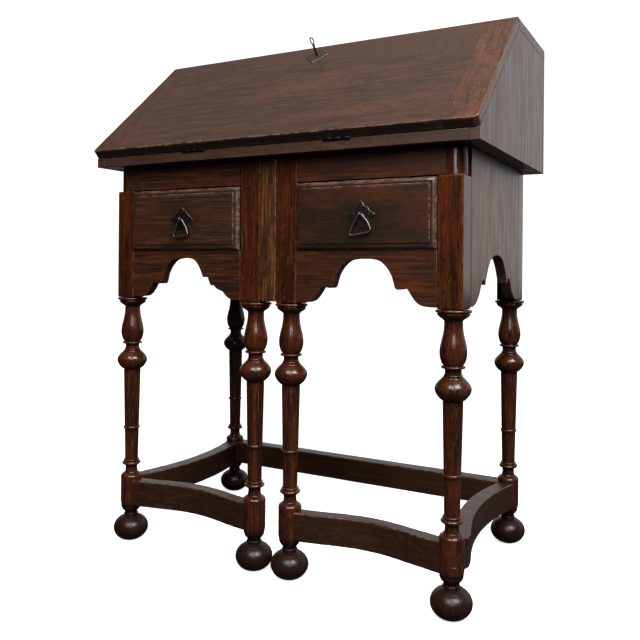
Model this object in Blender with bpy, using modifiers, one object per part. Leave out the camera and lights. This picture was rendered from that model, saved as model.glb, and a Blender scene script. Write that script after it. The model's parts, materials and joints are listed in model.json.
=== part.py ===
"""Writing bureau in dark oak: a sloping fall-front desk on a gateleg stand with turned legs.

Units are metres. +Z is up, the front faces -Y, and the origin is on the floor under the
middle of the bureau. Run it in Blender: blender --background --python part.py
"""
import math

import bmesh
import bpy
from mathutils import Vector

# Desk case
DESK_WIDTH = 0.760
DESK_DEPTH = 0.457
DESK_HEIGHT = 0.248
CASE_BOARD = 0.018
FLOOR_BOARD = 0.0176
BACK_BOARD = 0.014
STRIP_DEPTH = 0.040
SHELF_BOARD = 0.008
SHELF_DEPTH = 0.110
SHELF_RISE = 0.100
PIGEONHOLE_PITCH = 0.180

# Lid, which is a middle board with a cleat across each end
LID_SLOPE = math.radians(42.0)
LID_THICK = 0.0176
CLEAT_WIDTH = 0.055

# Hinges between the lid and the front strip
HINGE_X = 0.145
HINGE_WIDTH = 0.050
HINGE_LEAF = 0.030
HINGE_LEAF_THICK = 0.0018
KNUCKLE_RADIUS = 0.004
KNUCKLE_MIDDLE = 0.016
HINGE_PIN_RADIUS = 0.0016

# Lock and key
KEYHOLE_DROP = 0.042
LOCK_WIDTH = 0.056
LOCK_HEIGHT = 0.054
LOCK_DEPTH = 0.011
LOCK_WALL = 0.0015
LOCK_TOP_DROP = 0.0105
BOLT_WIDTH = 0.018
BOLT_THICK = 0.004
BOLT_LENGTH = 0.028
BOLT_DEPTH = 0.0055
BOLT_SLOT_DEPTH = 0.014
KEY_RADIUS = 0.0022
KEY_REACH = 0.042
KEY_BOW_LENGTH = 0.0168
KEY_BOW_WIDTH = 0.0115
KEY_WIRE = 0.0013
KEY_BIT = 0.007
KEY_BIT_THICK = 0.0022
PLATE_THICK = 0.0015
ESCUTCHEON_HALF_WIDTH = 0.025
ESCUTCHEON_HALF_HEIGHT = 0.031

# Stand
STAND_HEIGHT = 0.7282
FRONT_INSET = 0.0245
BACK_INSET = 0.038
SIDE_INSET = 0.0315
BLOCK = 0.041
BLOCK_DROP = 0.0025
RAIL_HEIGHT = 0.0455
DRAWER_OPENING = 0.1155
PIN_RADIUS = 0.0202
MUNTIN_WIDTH = 0.0308
MUNTIN_DEPTH = 0.030
RAIL_THICK = 0.020
PANEL_THICK = 0.018
BACK_PANEL_THICK = 0.016
BACK_PANEL_DROP = 0.0035
BACK_PANEL_INSET = 0.003
DIVIDER_THICK = 0.018

# Aprons and their arches, also cut in the side panels: widths as shares of the board's half width,
# rises above the board's foot as shares of the apron's height
APRON_HEIGHT = 0.089
APRON_THICK = 0.020
APRON_ARCH = dict(half=0.40, apex=0.843, cusp_rise=0.315, cusp=0.152, ogee=0.24)
PANEL_ARCH = dict(half=0.474, apex=0.938, cusp_rise=0.416, cusp=0.141, ogee=0.269)
ARCH_FLATNESS = 0.75
OGEE_POWER = 1.7

# Turned legs, from the ring under the block down to the barrel
RING_HEIGHT = 0.008
RING_RADIUS = 0.0283
RING_QUIRK = 0.001
NECK_HEIGHT = 0.011
NECK_RADIUS = 0.0143
VASE_HEIGHT = 0.066
VASE_RADIUS = 0.021
VASE_FOOT_RADIUS = 0.0138
VASE_WIDEST = 0.76
FILLET_HEIGHT = 0.007
FILLET_RADIUS = 0.0188
COLLAR_HEIGHT = 0.011
COLLAR_RADIUS = 0.016
COLLAR_NECK_RADIUS = 0.0127
KNOP_HEIGHT = 0.038
KNOP_RADIUS = 0.0288
SHAFT_TOP_RADIUS = 0.0162
SHAFT_FOOT_RADIUS = 0.0124
SHAFT_BEAD_PLACE = 0.65
SHAFT_BEAD_HEIGHT = 0.006
SHAFT_BEAD_RADIUS = 0.0155
ANKLE_BEAD_HEIGHT = 0.014
ANKLE_BEAD_RADIUS = 0.0178
ANKLE_HEIGHT = 0.013
ANKLE_RADIUS = 0.011
SHOULDER_HEIGHT = 0.010
BARREL_TOP = 0.1197
BARREL_FOOT = 0.0687
BARREL_RADIUS = 0.020
LEG_SIDES = 16

# Ball feet, each turned with the cone and neck under the leg's barrel
FOOT_NECK_RADIUS = 0.0114
FOOT_NECK_TOP = 0.0583
FOOT_NECK_FOOT = 0.0525
FOOT_RADIUS = 0.033
FOOT_HALF_HEIGHT = 0.029
FOOT_CENTRE = 0.0245
FOOT_COLLAR_RADIUS = 0.0135

# Stretchers
STRETCHER_FOOT = 0.0687
STRETCHER_TOP = 0.1177
GATE_STRETCHER = dict(thick=0.024, out=0.015, sag=0.024)
SIDE_STRETCHER = dict(thick=0.028, out=0.026, sag=0.033)
SIDE_STRETCHER_SKEW = math.radians(2.6)
BACK_STRETCHER_THICK = 0.030
BACK_STRETCHER_FRONT = 0.0125

# Iron pivot plates under the side stretchers
PIVOT_PLATE_THICK = 0.0018
PIVOT_PLATE_WIDTH = 0.014
PIVOT_PLATE_LENGTH = 0.080
PIVOT_EYE_RADIUS = 0.0124
PIVOT_EYE_WALL = 0.0066

# Drawers
DRAWER_PROUD = 0.008
DRAWER_FRONT_THICK = 0.022
DRAWER_MOULDING = 0.007
DRAWER_BACK_GAP = 0.031
DRAWER_WALL = 0.009
DRAWER_TOP_GAP = 0.0025
DRAWER_INNER_GAP = 0.002
TRAY_DROP = 0.011
RUNNER_RISE = 0.011
RUNNER_THICK = 0.016
RUNNER_SEAT = 0.015

# Drawer pulls
PULL_HALF_WIDTH = 0.025
PULL_HALF_HEIGHT = 0.0225
PULL_LOBE = 0.0155
LOZENGE_POWER = 2.5
STAPLE_RADIUS = 0.0032
STAPLE_WIRE = 0.0012
BAIL_WIRE = 0.0012
BAIL_APEX = 0.004
BAIL_HALF_WIDTH = 0.0175
BAIL_DROP = 0.029
BAIL_CORNER = 0.005

# Clearances: glued joint, hinge line, gate swing, pivot and sliding fit
FIT = 0.0003
HINGE_CLEAR = 0.0005
SWING_GAP = 0.001
RAIL_GAP = 0.0012
PIVOT_GAP = 0.0008
SLIDE_GAP = 0.0005
OVERCUT = 0.002

# Levels and places worked out from the sizes above
rail_foot = STAND_HEIGHT - RAIL_HEIGHT
post_top = rail_foot - SLIDE_GAP
apron_top = rail_foot - DRAWER_OPENING
panel_foot = apron_top - APRON_HEIGHT
block_foot = panel_foot - BLOCK_DROP
SIN, COS, TAN = math.sin(LID_SLOPE), math.cos(LID_SLOPE), math.tan(LID_SLOPE)
desk_floor = STAND_HEIGHT + FIT
strip_top = desk_floor + FLOOR_BOARD
desk_top = desk_floor + DESK_HEIGHT
top_under = desk_top - CASE_BOARD
half_desk = DESK_WIDTH / 2
inside_x = half_desk - CASE_BOARD - FIT
lip = HINGE_CLEAR + LID_THICK * SIN
desk_front = (lip - DESK_DEPTH) / 2
desk_back = (lip + DESK_DEPTH) / 2
inside_back = desk_back - BACK_BOARD - FIT
hinge_y = desk_front - HINGE_CLEAR
hinge_z = strip_top + FIT
lid_length = (desk_top - hinge_z - LID_THICK * COS) / SIN
keyhole = lid_length - KEYHOLE_DROP
stand_front = desk_front + FRONT_INSET
stand_back = desk_back - BACK_INSET
stand_side = half_desk - SIDE_INSET
post_x = stand_side - BLOCK / 2
front_y = stand_front + BLOCK / 2
back_y = stand_back - BLOCK / 2
inner_x = MUNTIN_WIDTH / 2 + SWING_GAP + BLOCK / 2
opening_in = inner_x + BLOCK / 2
opening_out = post_x - BLOCK / 2
opening_middle = (opening_in + opening_out) / 2
corner_swing = BLOCK / math.sqrt(2) + SLIDE_GAP
drawer_face = stand_front - DRAWER_PROUD
drawer_in = opening_in + DRAWER_INNER_GAP
drawer_out = opening_out - SLIDE_GAP
drawer_foot = apron_top + SLIDE_GAP
drawer_top = rail_foot - DRAWER_TOP_GAP
drawer_middle_z = (drawer_foot + drawer_top) / 2
tray_front = drawer_face + DRAWER_FRONT_THICK + FIT
runner_top = apron_top + RUNNER_RISE
panel_in = stand_side - PANEL_THICK
back_panel_front = stand_back - BACK_PANEL_INSET - BACK_PANEL_THICK

for old in list(bpy.data.objects):
    bpy.data.objects.remove(old, do_unlink=True)

parts = bpy.data.collections.new("writing_bureau")
cutters = bpy.data.collections.new("writing_bureau_cutters")
bpy.context.scene.collection.children.link(parts)
bpy.context.scene.collection.children.link(cutters)


def linear(hex_colour):
    """sRGB hex colour as the linear colour that a shader takes."""
    channels = [int(hex_colour[i:i + 2], 16) / 255 for i in (0, 2, 4)]
    return [c / 12.92 if c <= 0.04045 else ((c + 0.055) / 1.055) ** 2.4 for c in channels] + [1.0]


def new_material(name, hex_colour, roughness, metallic=0.0):
    material = bpy.data.materials.new(name)
    material.use_nodes = True
    shader = material.node_tree.nodes["Principled BSDF"]
    shader.inputs["Base Color"].default_value = linear(hex_colour)
    shader.inputs["Roughness"].default_value = roughness
    shader.inputs["Metallic"].default_value = metallic
    material.diffuse_color = linear(hex_colour)
    return material


OAK_LID = new_material("oak_lid", "4f352a", 0.40)
OAK_CASE = new_material("oak_case", "453029", 0.42)
OAK_STAND = new_material("oak_stand", "3f241a", 0.38)
OAK_TURNED = new_material("oak_turned", "2e1a15", 0.30)
OAK_INSIDE = new_material("oak_inside", "6a4c37", 0.60)
IRON = new_material("black_iron", "2a2829", 0.45, 1.0)


def link(name, mesh, material=None, parent=None, place=(0, 0, 0), turn=(0, 0, 0)):
    """Put a mesh in the scene, as a part if it has a material and as a cutter if not."""
    thing = bpy.data.objects.new(name, mesh)
    (parts if material else cutters).objects.link(thing)
    thing.location = place
    thing.rotation_euler = turn
    thing.parent = parent
    if material:
        mesh.materials.clear()
        mesh.materials.append(material)
    else:
        thing.hide_render = True
        thing.display_type = "WIRE"
    return thing


def empty(name, place, turn=(0, 0, 0), parent=None):
    """Axis of a moving piece."""
    axis = bpy.data.objects.new(name, None)
    parts.objects.link(axis)
    axis.location = place
    axis.rotation_euler = turn
    axis.parent = parent
    return axis


def box(name, x, y, z, material=None, parent=None, origin=(0, 0, 0)):
    """Box between the low and high limits on each axis, given relative to origin's frame."""
    low, high = (Vector(corner) for corner in zip(x, y, z))
    mesh = bpy.data.meshes.new(name)
    shape = bmesh.new()
    bmesh.ops.create_cube(shape, size=1.0)
    bmesh.ops.scale(shape, vec=high - low, verts=shape.verts)
    shape.to_mesh(mesh)
    shape.free()
    return link(name, mesh, material, parent, (low + high) / 2 - Vector(origin))


def rod(name, radius, length, place, turn=(0, 0, 0), sides=16, material=None, parent=None):
    """Cylinder along its own Z axis, centred on its place."""
    mesh = bpy.data.meshes.new(name)
    shape = bmesh.new()
    bmesh.ops.create_cone(shape, cap_ends=True, segments=sides, radius1=radius, radius2=radius,
                          depth=length)
    shape.to_mesh(mesh)
    shape.free()
    return link(name, mesh, material, parent, place, turn)


def baked(thing):
    """Evaluated mesh of an object, welded, with the object itself removed."""
    bpy.context.view_layer.update()
    graph = bpy.context.evaluated_depsgraph_get()
    mesh = bpy.data.meshes.new_from_object(thing.evaluated_get(graph), depsgraph=graph)
    mesh.name = thing.name
    bpy.data.objects.remove(thing, do_unlink=True)
    shape = bmesh.new()
    shape.from_mesh(mesh)
    bmesh.ops.remove_doubles(shape, verts=shape.verts, dist=1e-6)
    shape.to_mesh(mesh)
    shape.free()
    return mesh


def outline_mesh(name, points, thickness):
    """Flat outline in local XY, extruded by half the thickness each way along Z."""
    curve = bpy.data.curves.new(name, "CURVE")
    curve.dimensions = "2D"
    curve.fill_mode = "BOTH"
    curve.extrude = thickness / 2
    spline = curve.splines.new("POLY")
    spline.points.add(len(points) - 1)
    for target, (u, v) in zip(spline.points, points):
        target.co = (u, v, 0, 1)
    spline.use_cyclic_u = True
    thing = bpy.data.objects.new(name, curve)
    cutters.objects.link(thing)
    return baked(thing)


def wire_mesh(name, points, radius):
    """Closed loop of round wire through the points."""
    curve = bpy.data.curves.new(name, "CURVE")
    curve.dimensions = "3D"
    curve.bevel_depth = radius
    curve.bevel_resolution = 2
    spline = curve.splines.new("POLY")
    spline.points.add(len(points) - 1)
    for target, point in zip(spline.points, points):
        target.co = (*point, 1)
    spline.use_cyclic_u = True
    thing = bpy.data.objects.new(name, curve)
    cutters.objects.link(thing)
    return baked(thing)


def turned_mesh(name, profile, sides=LEG_SIDES):
    """Solid of revolution about Z from (radius, z) points, top to bottom, closed on the axis."""
    mesh = bpy.data.meshes.new(name)
    points = [(0, profile[0][1])] + profile + [(0, profile[-1][1])]
    edges = [(i, i + 1) for i in range(len(points) - 1)]
    mesh.from_pydata([(r, 0, z) for r, z in points], edges, [])
    thing = link(name, mesh)
    screw = thing.modifiers.new("turn", "SCREW")
    screw.steps = screw.render_steps = sides
    screw.use_merge_vertices = True
    screw.merge_threshold = 1e-6
    return baked(thing)


def smooth(mesh):
    mesh.shade_smooth()
    mesh.set_sharp_from_angle(angle=math.radians(35))
    return mesh


def boolean(thing, other, operation="DIFFERENCE"):
    change = thing.modifiers.new(operation.lower(), "BOOLEAN")
    change.operation = operation
    change.solver = "EXACT"
    change.object = other


UPRIGHT_FRONT = (math.radians(90), 0, 0)
UPRIGHT_SIDE = (math.radians(90), 0, math.radians(90))
ALONG_X = (0, math.radians(90), 0)
SIDES = (("left", -1), ("right", 1))


def span(side, low, high):
    """Limits on X of a piece that lies between two distances from the middle, on one side."""
    return (low, high) if side > 0 else (-high, -low)


# Desk case: sides with a sloping front edge, top bevelled where the lid lies on it
def lid_plane_y(z):
    """Y of the sides' sloping edge at a height, one fit below the lid's inner face."""
    return hinge_y + (z - hinge_z + FIT / COS) / TAN


side_outline = [
    (desk_front, desk_floor),
    (inside_back, desk_floor),
    (inside_back, top_under - FIT),
    (lid_plane_y(top_under - FIT), top_under - FIT),
    (desk_front, hinge_z + (desk_front - hinge_y) * TAN - FIT / COS),
]
for word, side in SIDES:
    board = outline_mesh(f"desk_{word}_side", side_outline, CASE_BOARD)
    link(f"desk_{word}_side", board, OAK_CASE, None, (side * (half_desk - CASE_BOARD / 2), 0, 0),
         UPRIGHT_SIDE)

lid_stop = lid_length + FIT
top_outline = [
    (lid_plane_y(top_under), top_under),
    (desk_back, top_under),
    (desk_back, desk_top),
    (hinge_y + (lid_stop - (desk_top - hinge_z) * SIN) / COS, desk_top),
    (hinge_y + lid_stop * COS + FIT * SIN, hinge_z + lid_stop * SIN - FIT * COS),
]
top_board = outline_mesh("desk_top", top_outline, DESK_WIDTH)
desk_top_board = link("desk_top", top_board, OAK_CASE, None, (0, 0, 0), UPRIGHT_SIDE)
box("desk_back", (-half_desk, half_desk), (inside_back + FIT, desk_back), (desk_floor, top_under - FIT),
    OAK_CASE)
strip_back = desk_front + STRIP_DEPTH
box("desk_bottom", (-inside_x, inside_x), (strip_back + FIT, inside_back), (desk_floor, strip_top),
    OAK_CASE)
front_strip = box("desk_front_strip", (-inside_x, inside_x), (desk_front, strip_back),
                  (desk_floor, strip_top),
                  OAK_CASE)

# Pigeonholes at the back of the desk
shelf_y = (inside_back - SHELF_DEPTH, inside_back - FIT)
shelf_z = strip_top + SHELF_RISE
box("pigeonhole_shelf", (-inside_x + FIT, inside_x - FIT), shelf_y, (shelf_z, shelf_z + SHELF_BOARD),
    OAK_INSIDE)
for word, place in (("left", -1), ("middle", 0), ("right", 1)):
    middle = place * PIGEONHOLE_PITCH
    box(f"pigeonhole_{word}_divider", (middle - SHELF_BOARD / 2, middle + SHELF_BOARD / 2), shelf_y,
        (strip_top + FIT, shelf_z - FIT), OAK_INSIDE)

# Lid: local Y runs up the slope from the hinge axis, local Z points out of the lid's face
lid_axis = empty("lid_axis", (0, hinge_y, hinge_z), (LID_SLOPE, 0, 0))
board_x = half_desk - CLEAT_WIDTH
lid_board = box("lid_board", (-board_x + FIT, board_x - FIT), (0, lid_length), (0, LID_THICK), OAK_LID,
                lid_axis)
for word, side in SIDES:
    box(f"lid_{word}_cleat", span(side, board_x, half_desk), (0, lid_length), (0, LID_THICK), OAK_LID,
        lid_axis)


# Hinges: the desk leaf holds the pin and the outer knuckles, the lid leaf the middle one
def knuckle_and_tab(leaf, middle, length, parent, leaf_z):
    """Join one knuckle, and the tab that ties it to its leaf."""
    label = f"{leaf.name}_{'middle' if middle == 0 else 'outer'}"
    boolean(leaf,
            rod(f"{label}_knuckle", KNUCKLE_RADIUS, length, (middle + leaf.location.x, 0, 0), ALONG_X, 12,
                      parent=parent), "UNION")
    tab_x = (leaf.location.x + middle - length / 2, leaf.location.x + middle + length / 2)
    boolean(leaf,
            box(f"{label}_tab", tab_x, (KNUCKLE_RADIUS / 2, KNUCKLE_RADIUS * 2), leaf_z, parent=parent),
            "UNION")


strip_axis = empty("hinge_axis", (0, hinge_y, hinge_z))
outer_length = (HINGE_WIDTH - KNUCKLE_MIDDLE) / 2 - FIT
outer_middle = (HINGE_WIDTH - outer_length) / 2
leaf_y = (KNUCKLE_RADIUS + SWING_GAP, HINGE_LEAF)
recess_y = (0, HINGE_LEAF + FIT)
desk_leaf_z = (-FIT - HINGE_LEAF_THICK, -FIT)
lid_leaf_z = (FIT, FIT + HINGE_LEAF_THICK)
for word, side in SIDES:
    middle = side * HINGE_X
    leaf_x = (middle - HINGE_WIDTH / 2, middle + HINGE_WIDTH / 2)
    recess_x = (leaf_x[0] - FIT, leaf_x[1] + FIT)
    desk_leaf = box(f"{word}_hinge_desk_leaf", leaf_x, leaf_y, desk_leaf_z, IRON, strip_axis)
    for end in (-1, 1):
        knuckle_and_tab(desk_leaf, end * outer_middle, outer_length, strip_axis, desk_leaf_z)
    pin_length = HINGE_WIDTH - outer_length
    boolean(desk_leaf, rod(f"{word}_hinge_pin", HINGE_PIN_RADIUS, pin_length, (middle, 0, 0), ALONG_X, 10,
                           parent=strip_axis), "UNION")
    lid_leaf = box(f"{word}_hinge_lid_leaf", leaf_x, leaf_y, lid_leaf_z, IRON, lid_axis)
    knuckle_and_tab(lid_leaf, 0, KNUCKLE_MIDDLE - FIT, lid_axis, lid_leaf_z)
    boolean(lid_leaf,
            rod(f"{word}_hinge_bore", HINGE_PIN_RADIUS + FIT, KNUCKLE_MIDDLE + OVERCUT, (middle, 0, 0),
                          ALONG_X, 10, parent=lid_axis))
    groove_length = HINGE_WIDTH + 2 * FIT
    for wood, axis, recess_z in (
        (front_strip, strip_axis, (desk_leaf_z[0] - FIT, OVERCUT)),
        (lid_board, lid_axis, (-OVERCUT, lid_leaf_z[1] + FIT)),
    ):
        boolean(wood,
                rod(f"{wood.name}_{word}_groove", KNUCKLE_RADIUS + HINGE_CLEAR, groove_length,
                    (middle, 0, 0),
                          ALONG_X, 16, parent=axis))
        boolean(wood, box(f"{wood.name}_{word}_recess", recess_x, recess_y, recess_z, parent=axis))

# Lock on the lid's inner face: case open towards the lid, bolt, key and outer escutcheon
lock_top = lid_length - LOCK_TOP_DROP
lock_y = (lock_top - LOCK_HEIGHT, lock_top)
lock_case = box("lock_case", (-LOCK_WIDTH / 2, LOCK_WIDTH / 2), lock_y, (-FIT - LOCK_DEPTH, -FIT), IRON,
                lid_axis)
hollow_x = (LOCK_WALL - LOCK_WIDTH / 2, LOCK_WIDTH / 2 - LOCK_WALL)
hollow_y = (lock_y[0] + LOCK_WALL, lock_y[1] - LOCK_WALL)
boolean(lock_case,
        box("lock_hollow", hollow_x, hollow_y, (LOCK_WALL - LOCK_DEPTH, OVERCUT), parent=lid_axis))
bolt_x = (-BOLT_WIDTH / 2, BOLT_WIDTH / 2)
bolt_z = (-BOLT_DEPTH - BOLT_THICK / 2, -BOLT_DEPTH + BOLT_THICK / 2)
lock_bolt = box("lock_bolt", bolt_x, (lock_top - BOLT_LENGTH, lock_top), bolt_z, IRON, lid_axis)
slot_x = (bolt_x[0] - SLIDE_GAP, bolt_x[1] + SLIDE_GAP)
slot_z = (bolt_z[0] - SLIDE_GAP, bolt_z[1] + SLIDE_GAP)
boolean(lock_case,
        box("lock_slot", slot_x, (hollow_y[1] - OVERCUT, lock_top + OVERCUT), slot_z, parent=lid_axis))
strike_y = (lock_top + FIT, lock_top + BOLT_SLOT_DEPTH)
boolean(desk_top_board, box("strike_slot", slot_x, strike_y, (slot_z[0], OVERCUT), parent=lid_axis))
boolean(lid_board,
        rod("lid_keyhole", KEY_RADIUS + SLIDE_GAP, LID_THICK + 2 * OVERCUT, (0, keyhole, LID_THICK / 2),
                       parent=lid_axis))


def lozenge(half_width, half_height, lobe):
    """Four pointed tips with a rounded lobe between: the radius falls from tip to lobe with
    (1 - |sin 2a|) to a power, so the tips stay sharp."""
    count = 32
    points = []
    for i in range(count):
        angle = 2 * math.pi * i / count
        tip = abs(1 - abs(math.sin(2 * angle))) ** LOZENGE_POWER
        points.append(((lobe + (half_width - lobe) * tip) * math.cos(angle),
                       (lobe + (half_height - lobe) * tip) * math.sin(angle)))
    return points


plate_z = LID_THICK + FIT + PLATE_THICK / 2
escutcheon_outline = lozenge(ESCUTCHEON_HALF_WIDTH, ESCUTCHEON_HALF_HEIGHT, PULL_LOBE)
escutcheon = link("escutcheon", outline_mesh("escutcheon", escutcheon_outline, PLATE_THICK), IRON, lid_axis,
                  (0, keyhole, plate_z))
boolean(escutcheon, rod("escutcheon_keyhole", KEY_RADIUS + SLIDE_GAP, PLATE_THICK + 2 * OVERCUT,
                        (0, keyhole, plate_z), parent=lid_axis))

key_axis = empty("key_axis", (0, keyhole, 0), parent=lid_axis)
key_tip = LOCK_WALL + FIT - LOCK_DEPTH
key_end = LID_THICK + KEY_REACH
bow_middle = key_end - KEY_BOW_LENGTH / 2
shank_top = key_end - KEY_BOW_LENGTH + KEY_WIRE * 1.5
key = rod("key", KEY_RADIUS, shank_top - key_tip, (0, 0, (shank_top + key_tip) / 2), material=IRON,
          parent=key_axis)
bow_points = [(math.cos(a) * (KEY_BOW_WIDTH / 2 - KEY_WIRE), 0,
               math.sin(a) * (KEY_BOW_LENGTH / 2 - KEY_WIRE))
              for a in (2 * math.pi * i / 16 for i in range(16))]
boolean(key,
        link("key_bow", wire_mesh("key_bow", bow_points, KEY_WIRE), None, key_axis, (0, 0, bow_middle)),
        "UNION")
bit_z = (key_tip + FIT, -SWING_GAP)
boolean(key, box("key_bit", (-KEY_BIT_THICK / 2, KEY_BIT_THICK / 2), (-KEY_RADIUS - KEY_BIT, 0), bit_z,
                 parent=key_axis), "UNION")


# Turned legs: one profile for all six
def swell(r0, r1, bulge, z0, z1, steps, widest=0.5):
    """Points after z0 down to z1: a taper plus a rounded bulge, widest at a share of the height."""
    points = []
    for i in range(1, steps + 1):
        t = i / steps
        turn = t / widest if t < widest else 1 + (t - widest) / (1 - widest)
        points.append((r0 + (r1 - r0) * t + bulge * math.sin(turn * math.pi / 2), z0 + (z1 - z0) * t))
    return points


def leg_profile():
    """(radius, z) down the turning, from inside the block to the barrel's underside."""
    ring = block_foot - RING_QUIRK
    core = BLOCK * 0.45
    points = [(core, block_foot + OVERCUT), (core, ring), (RING_RADIUS * 0.9, ring - RING_QUIRK)]
    ring_foot = block_foot - RING_HEIGHT
    points += [(RING_RADIUS, (ring + ring_foot) / 2), (RING_RADIUS * 0.88, ring_foot)]
    neck = ring_foot - NECK_HEIGHT
    points.append((NECK_RADIUS, neck))
    vase = neck - VASE_HEIGHT
    bulge = VASE_RADIUS - NECK_RADIUS + (NECK_RADIUS - VASE_FOOT_RADIUS) * VASE_WIDEST
    points += swell(NECK_RADIUS, VASE_FOOT_RADIUS, bulge, neck, vase, 6, VASE_WIDEST)
    fillet = vase - FILLET_HEIGHT
    points += [(FILLET_RADIUS, (vase + fillet) / 2), (COLLAR_NECK_RADIUS, fillet)]
    collar = fillet - COLLAR_HEIGHT
    points += [(COLLAR_NECK_RADIUS, (fillet + collar) / 2), (COLLAR_RADIUS, collar)]
    knop = collar - KNOP_HEIGHT
    points += swell(COLLAR_RADIUS, COLLAR_RADIUS, KNOP_RADIUS - COLLAR_RADIUS, collar, knop, 6)
    points.append((SHAFT_TOP_RADIUS, knop))
    ankle_bead = BARREL_TOP + SHOULDER_HEIGHT + ANKLE_HEIGHT + ANKLE_BEAD_HEIGHT
    bead = knop + (ankle_bead - knop) * SHAFT_BEAD_PLACE
    bead_shaft = SHAFT_TOP_RADIUS + (SHAFT_FOOT_RADIUS - SHAFT_TOP_RADIUS) * SHAFT_BEAD_PLACE
    half_bead = SHAFT_BEAD_HEIGHT / 2
    points += [(bead_shaft, bead + half_bead), (SHAFT_BEAD_RADIUS, bead), (bead_shaft, bead - half_bead)]
    points.append((SHAFT_FOOT_RADIUS, ankle_bead))
    ankle = ankle_bead - ANKLE_BEAD_HEIGHT
    points += swell(SHAFT_FOOT_RADIUS, ANKLE_RADIUS, ANKLE_BEAD_RADIUS - SHAFT_FOOT_RADIUS, ankle_bead,
                    ankle, 4)
    points += [(ANKLE_RADIUS, BARREL_TOP + SHOULDER_HEIGHT)]
    points += swell(ANKLE_RADIUS, BARREL_RADIUS, SHOULDER_HEIGHT * 0.3, BARREL_TOP + SHOULDER_HEIGHT,
                    BARREL_TOP, 2)
    points.append((BARREL_RADIUS, BARREL_FOOT))
    return points


def pivot_section(side):
    """Square post with its inner back corner rounded about the axis, so that it turns past the drawer."""
    half = BLOCK / 2
    turn = [math.radians(90 + 90 * i / 6) for i in range(7)]
    points = [(-half, -half), (half, -half), (half, half)]
    points += [(half * math.cos(a), half * math.sin(a)) for a in turn]
    return [(side * x, y) for x, y in points]


def leg_mesh(name, section, block_top):
    """Block of the given section joined to the turning, and to the round pin if the block stops short."""
    block_height = block_top - block_foot
    block = link(name, outline_mesh(name, section, block_height), None, None,
                 (0, 0, block_foot + block_height / 2))
    turning = link(f"{name}_turning", turned_mesh(f"{name}_turning", leg_profile()))
    boolean(block, turning, "UNION")
    joined = [turning]
    if block_top < STAND_HEIGHT:
        pin_foot = block_top - OVERCUT
        joined.append(rod(f"{name}_pin", PIN_RADIUS, STAND_HEIGHT - pin_foot,
                          (0, 0, (STAND_HEIGHT + pin_foot) / 2)))
        boolean(block, joined[-1], "UNION")
    holder = block.matrix_world.copy()
    holder.translation = block.location
    mesh = baked(block)
    mesh.transform(holder)
    for piece in joined:
        bpy.data.objects.remove(piece, do_unlink=True)
    return smooth(mesh)


def foot_profile(cone_top):
    """(radius, z) down a foot: spigot if a pivot plate lies under the barrel, cone, neck, ball, flat."""
    joint = BARREL_FOOT - FIT
    spigot = PIVOT_EYE_RADIUS - PIVOT_GAP
    points = [(spigot, joint), (spigot, cone_top)] if cone_top < joint else []
    points += [(BARREL_RADIUS - FIT, cone_top), (FOOT_NECK_RADIUS, FOOT_NECK_TOP),
               (FOOT_NECK_RADIUS, FOOT_NECK_FOOT)]
    top = math.acos(FOOT_COLLAR_RADIUS / FOOT_RADIUS)
    low = -math.asin(FOOT_CENTRE / FOOT_HALF_HEIGHT)
    steps = 8
    turn = [top + (low - top) * i / steps for i in range(steps + 1)]
    ball = [(FOOT_RADIUS * math.cos(a), FOOT_CENTRE + FOOT_HALF_HEIGHT * math.sin(a)) for a in turn]
    ball[-1] = (ball[-1][0], 0.0)
    return points + ball


half = BLOCK / 2
square = [(-half, -half), (half, -half), (half, half), (-half, half)]
plain_leg = leg_mesh("plain_leg", square, STAND_HEIGHT)
plate_top = STRETCHER_FOOT - FIT
plate_foot = plate_top - PIVOT_PLATE_THICK
plain_foot = smooth(turned_mesh("plain_foot", foot_profile(BARREL_FOOT - FIT)))
pivot_foot = smooth(turned_mesh("pivot_foot", foot_profile(plate_foot - SLIDE_GAP)))

gate_axes = {word: empty(f"{word}_gate_axis", (side * post_x, front_y, 0)) for word, side in SIDES}
for word, side in SIDES:
    link(f"back_{word}_leg", plain_leg, OAK_TURNED, None, (side * post_x, back_y, 0))
    link(f"back_{word}_foot", plain_foot, OAK_TURNED, None, (side * post_x, back_y, 0))
    gate = gate_axes[word]
    pivot_leg = leg_mesh(f"{word}_gate_outer_leg", pivot_section(side), post_top)
    link(f"{word}_gate_outer_leg", pivot_leg, OAK_TURNED, gate)
    link(f"{word}_gate_outer_foot", pivot_foot, OAK_TURNED, gate)
    reach = (side * (inner_x - post_x), 0, 0)
    link(f"{word}_gate_inner_leg", plain_leg, OAK_TURNED, gate, reach)
    link(f"{word}_gate_inner_foot", plain_foot, OAK_TURNED, gate, reach)


# Aprons and side panels: boards with the same kind of arch cut in the lower edge
def arched_outline(half_width, foot, top, arch):
    """Board outline about its middle. The arch is a flattened ellipse from the apex to the cusp, then a
    level cusp, then an ogee that runs out level into the foot."""
    steps = 6
    half, cusp, ogee = (half_width * arch[part] for part in ("half", "cusp", "ogee"))
    apex, cusp_z = (foot + APRON_HEIGHT * arch[part] for part in ("apex", "cusp_rise"))
    turn = [math.pi / 2 * i / steps for i in range(steps + 1)]
    right_half = [(half * math.sin(t) ** ARCH_FLATNESS,
                   cusp_z + (apex - cusp_z) * math.cos(t)) for t in turn]
    run = [i / steps for i in range(steps + 1)]
    right_half += [(half + cusp + ogee * t, foot + (cusp_z - foot) * (1 - t) ** OGEE_POWER) for t in run]
    right_half += [(half_width, foot), (half_width, top)]
    left_half = [(-u, v) for u, v in reversed(right_half[1:])]
    return left_half + right_half


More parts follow.
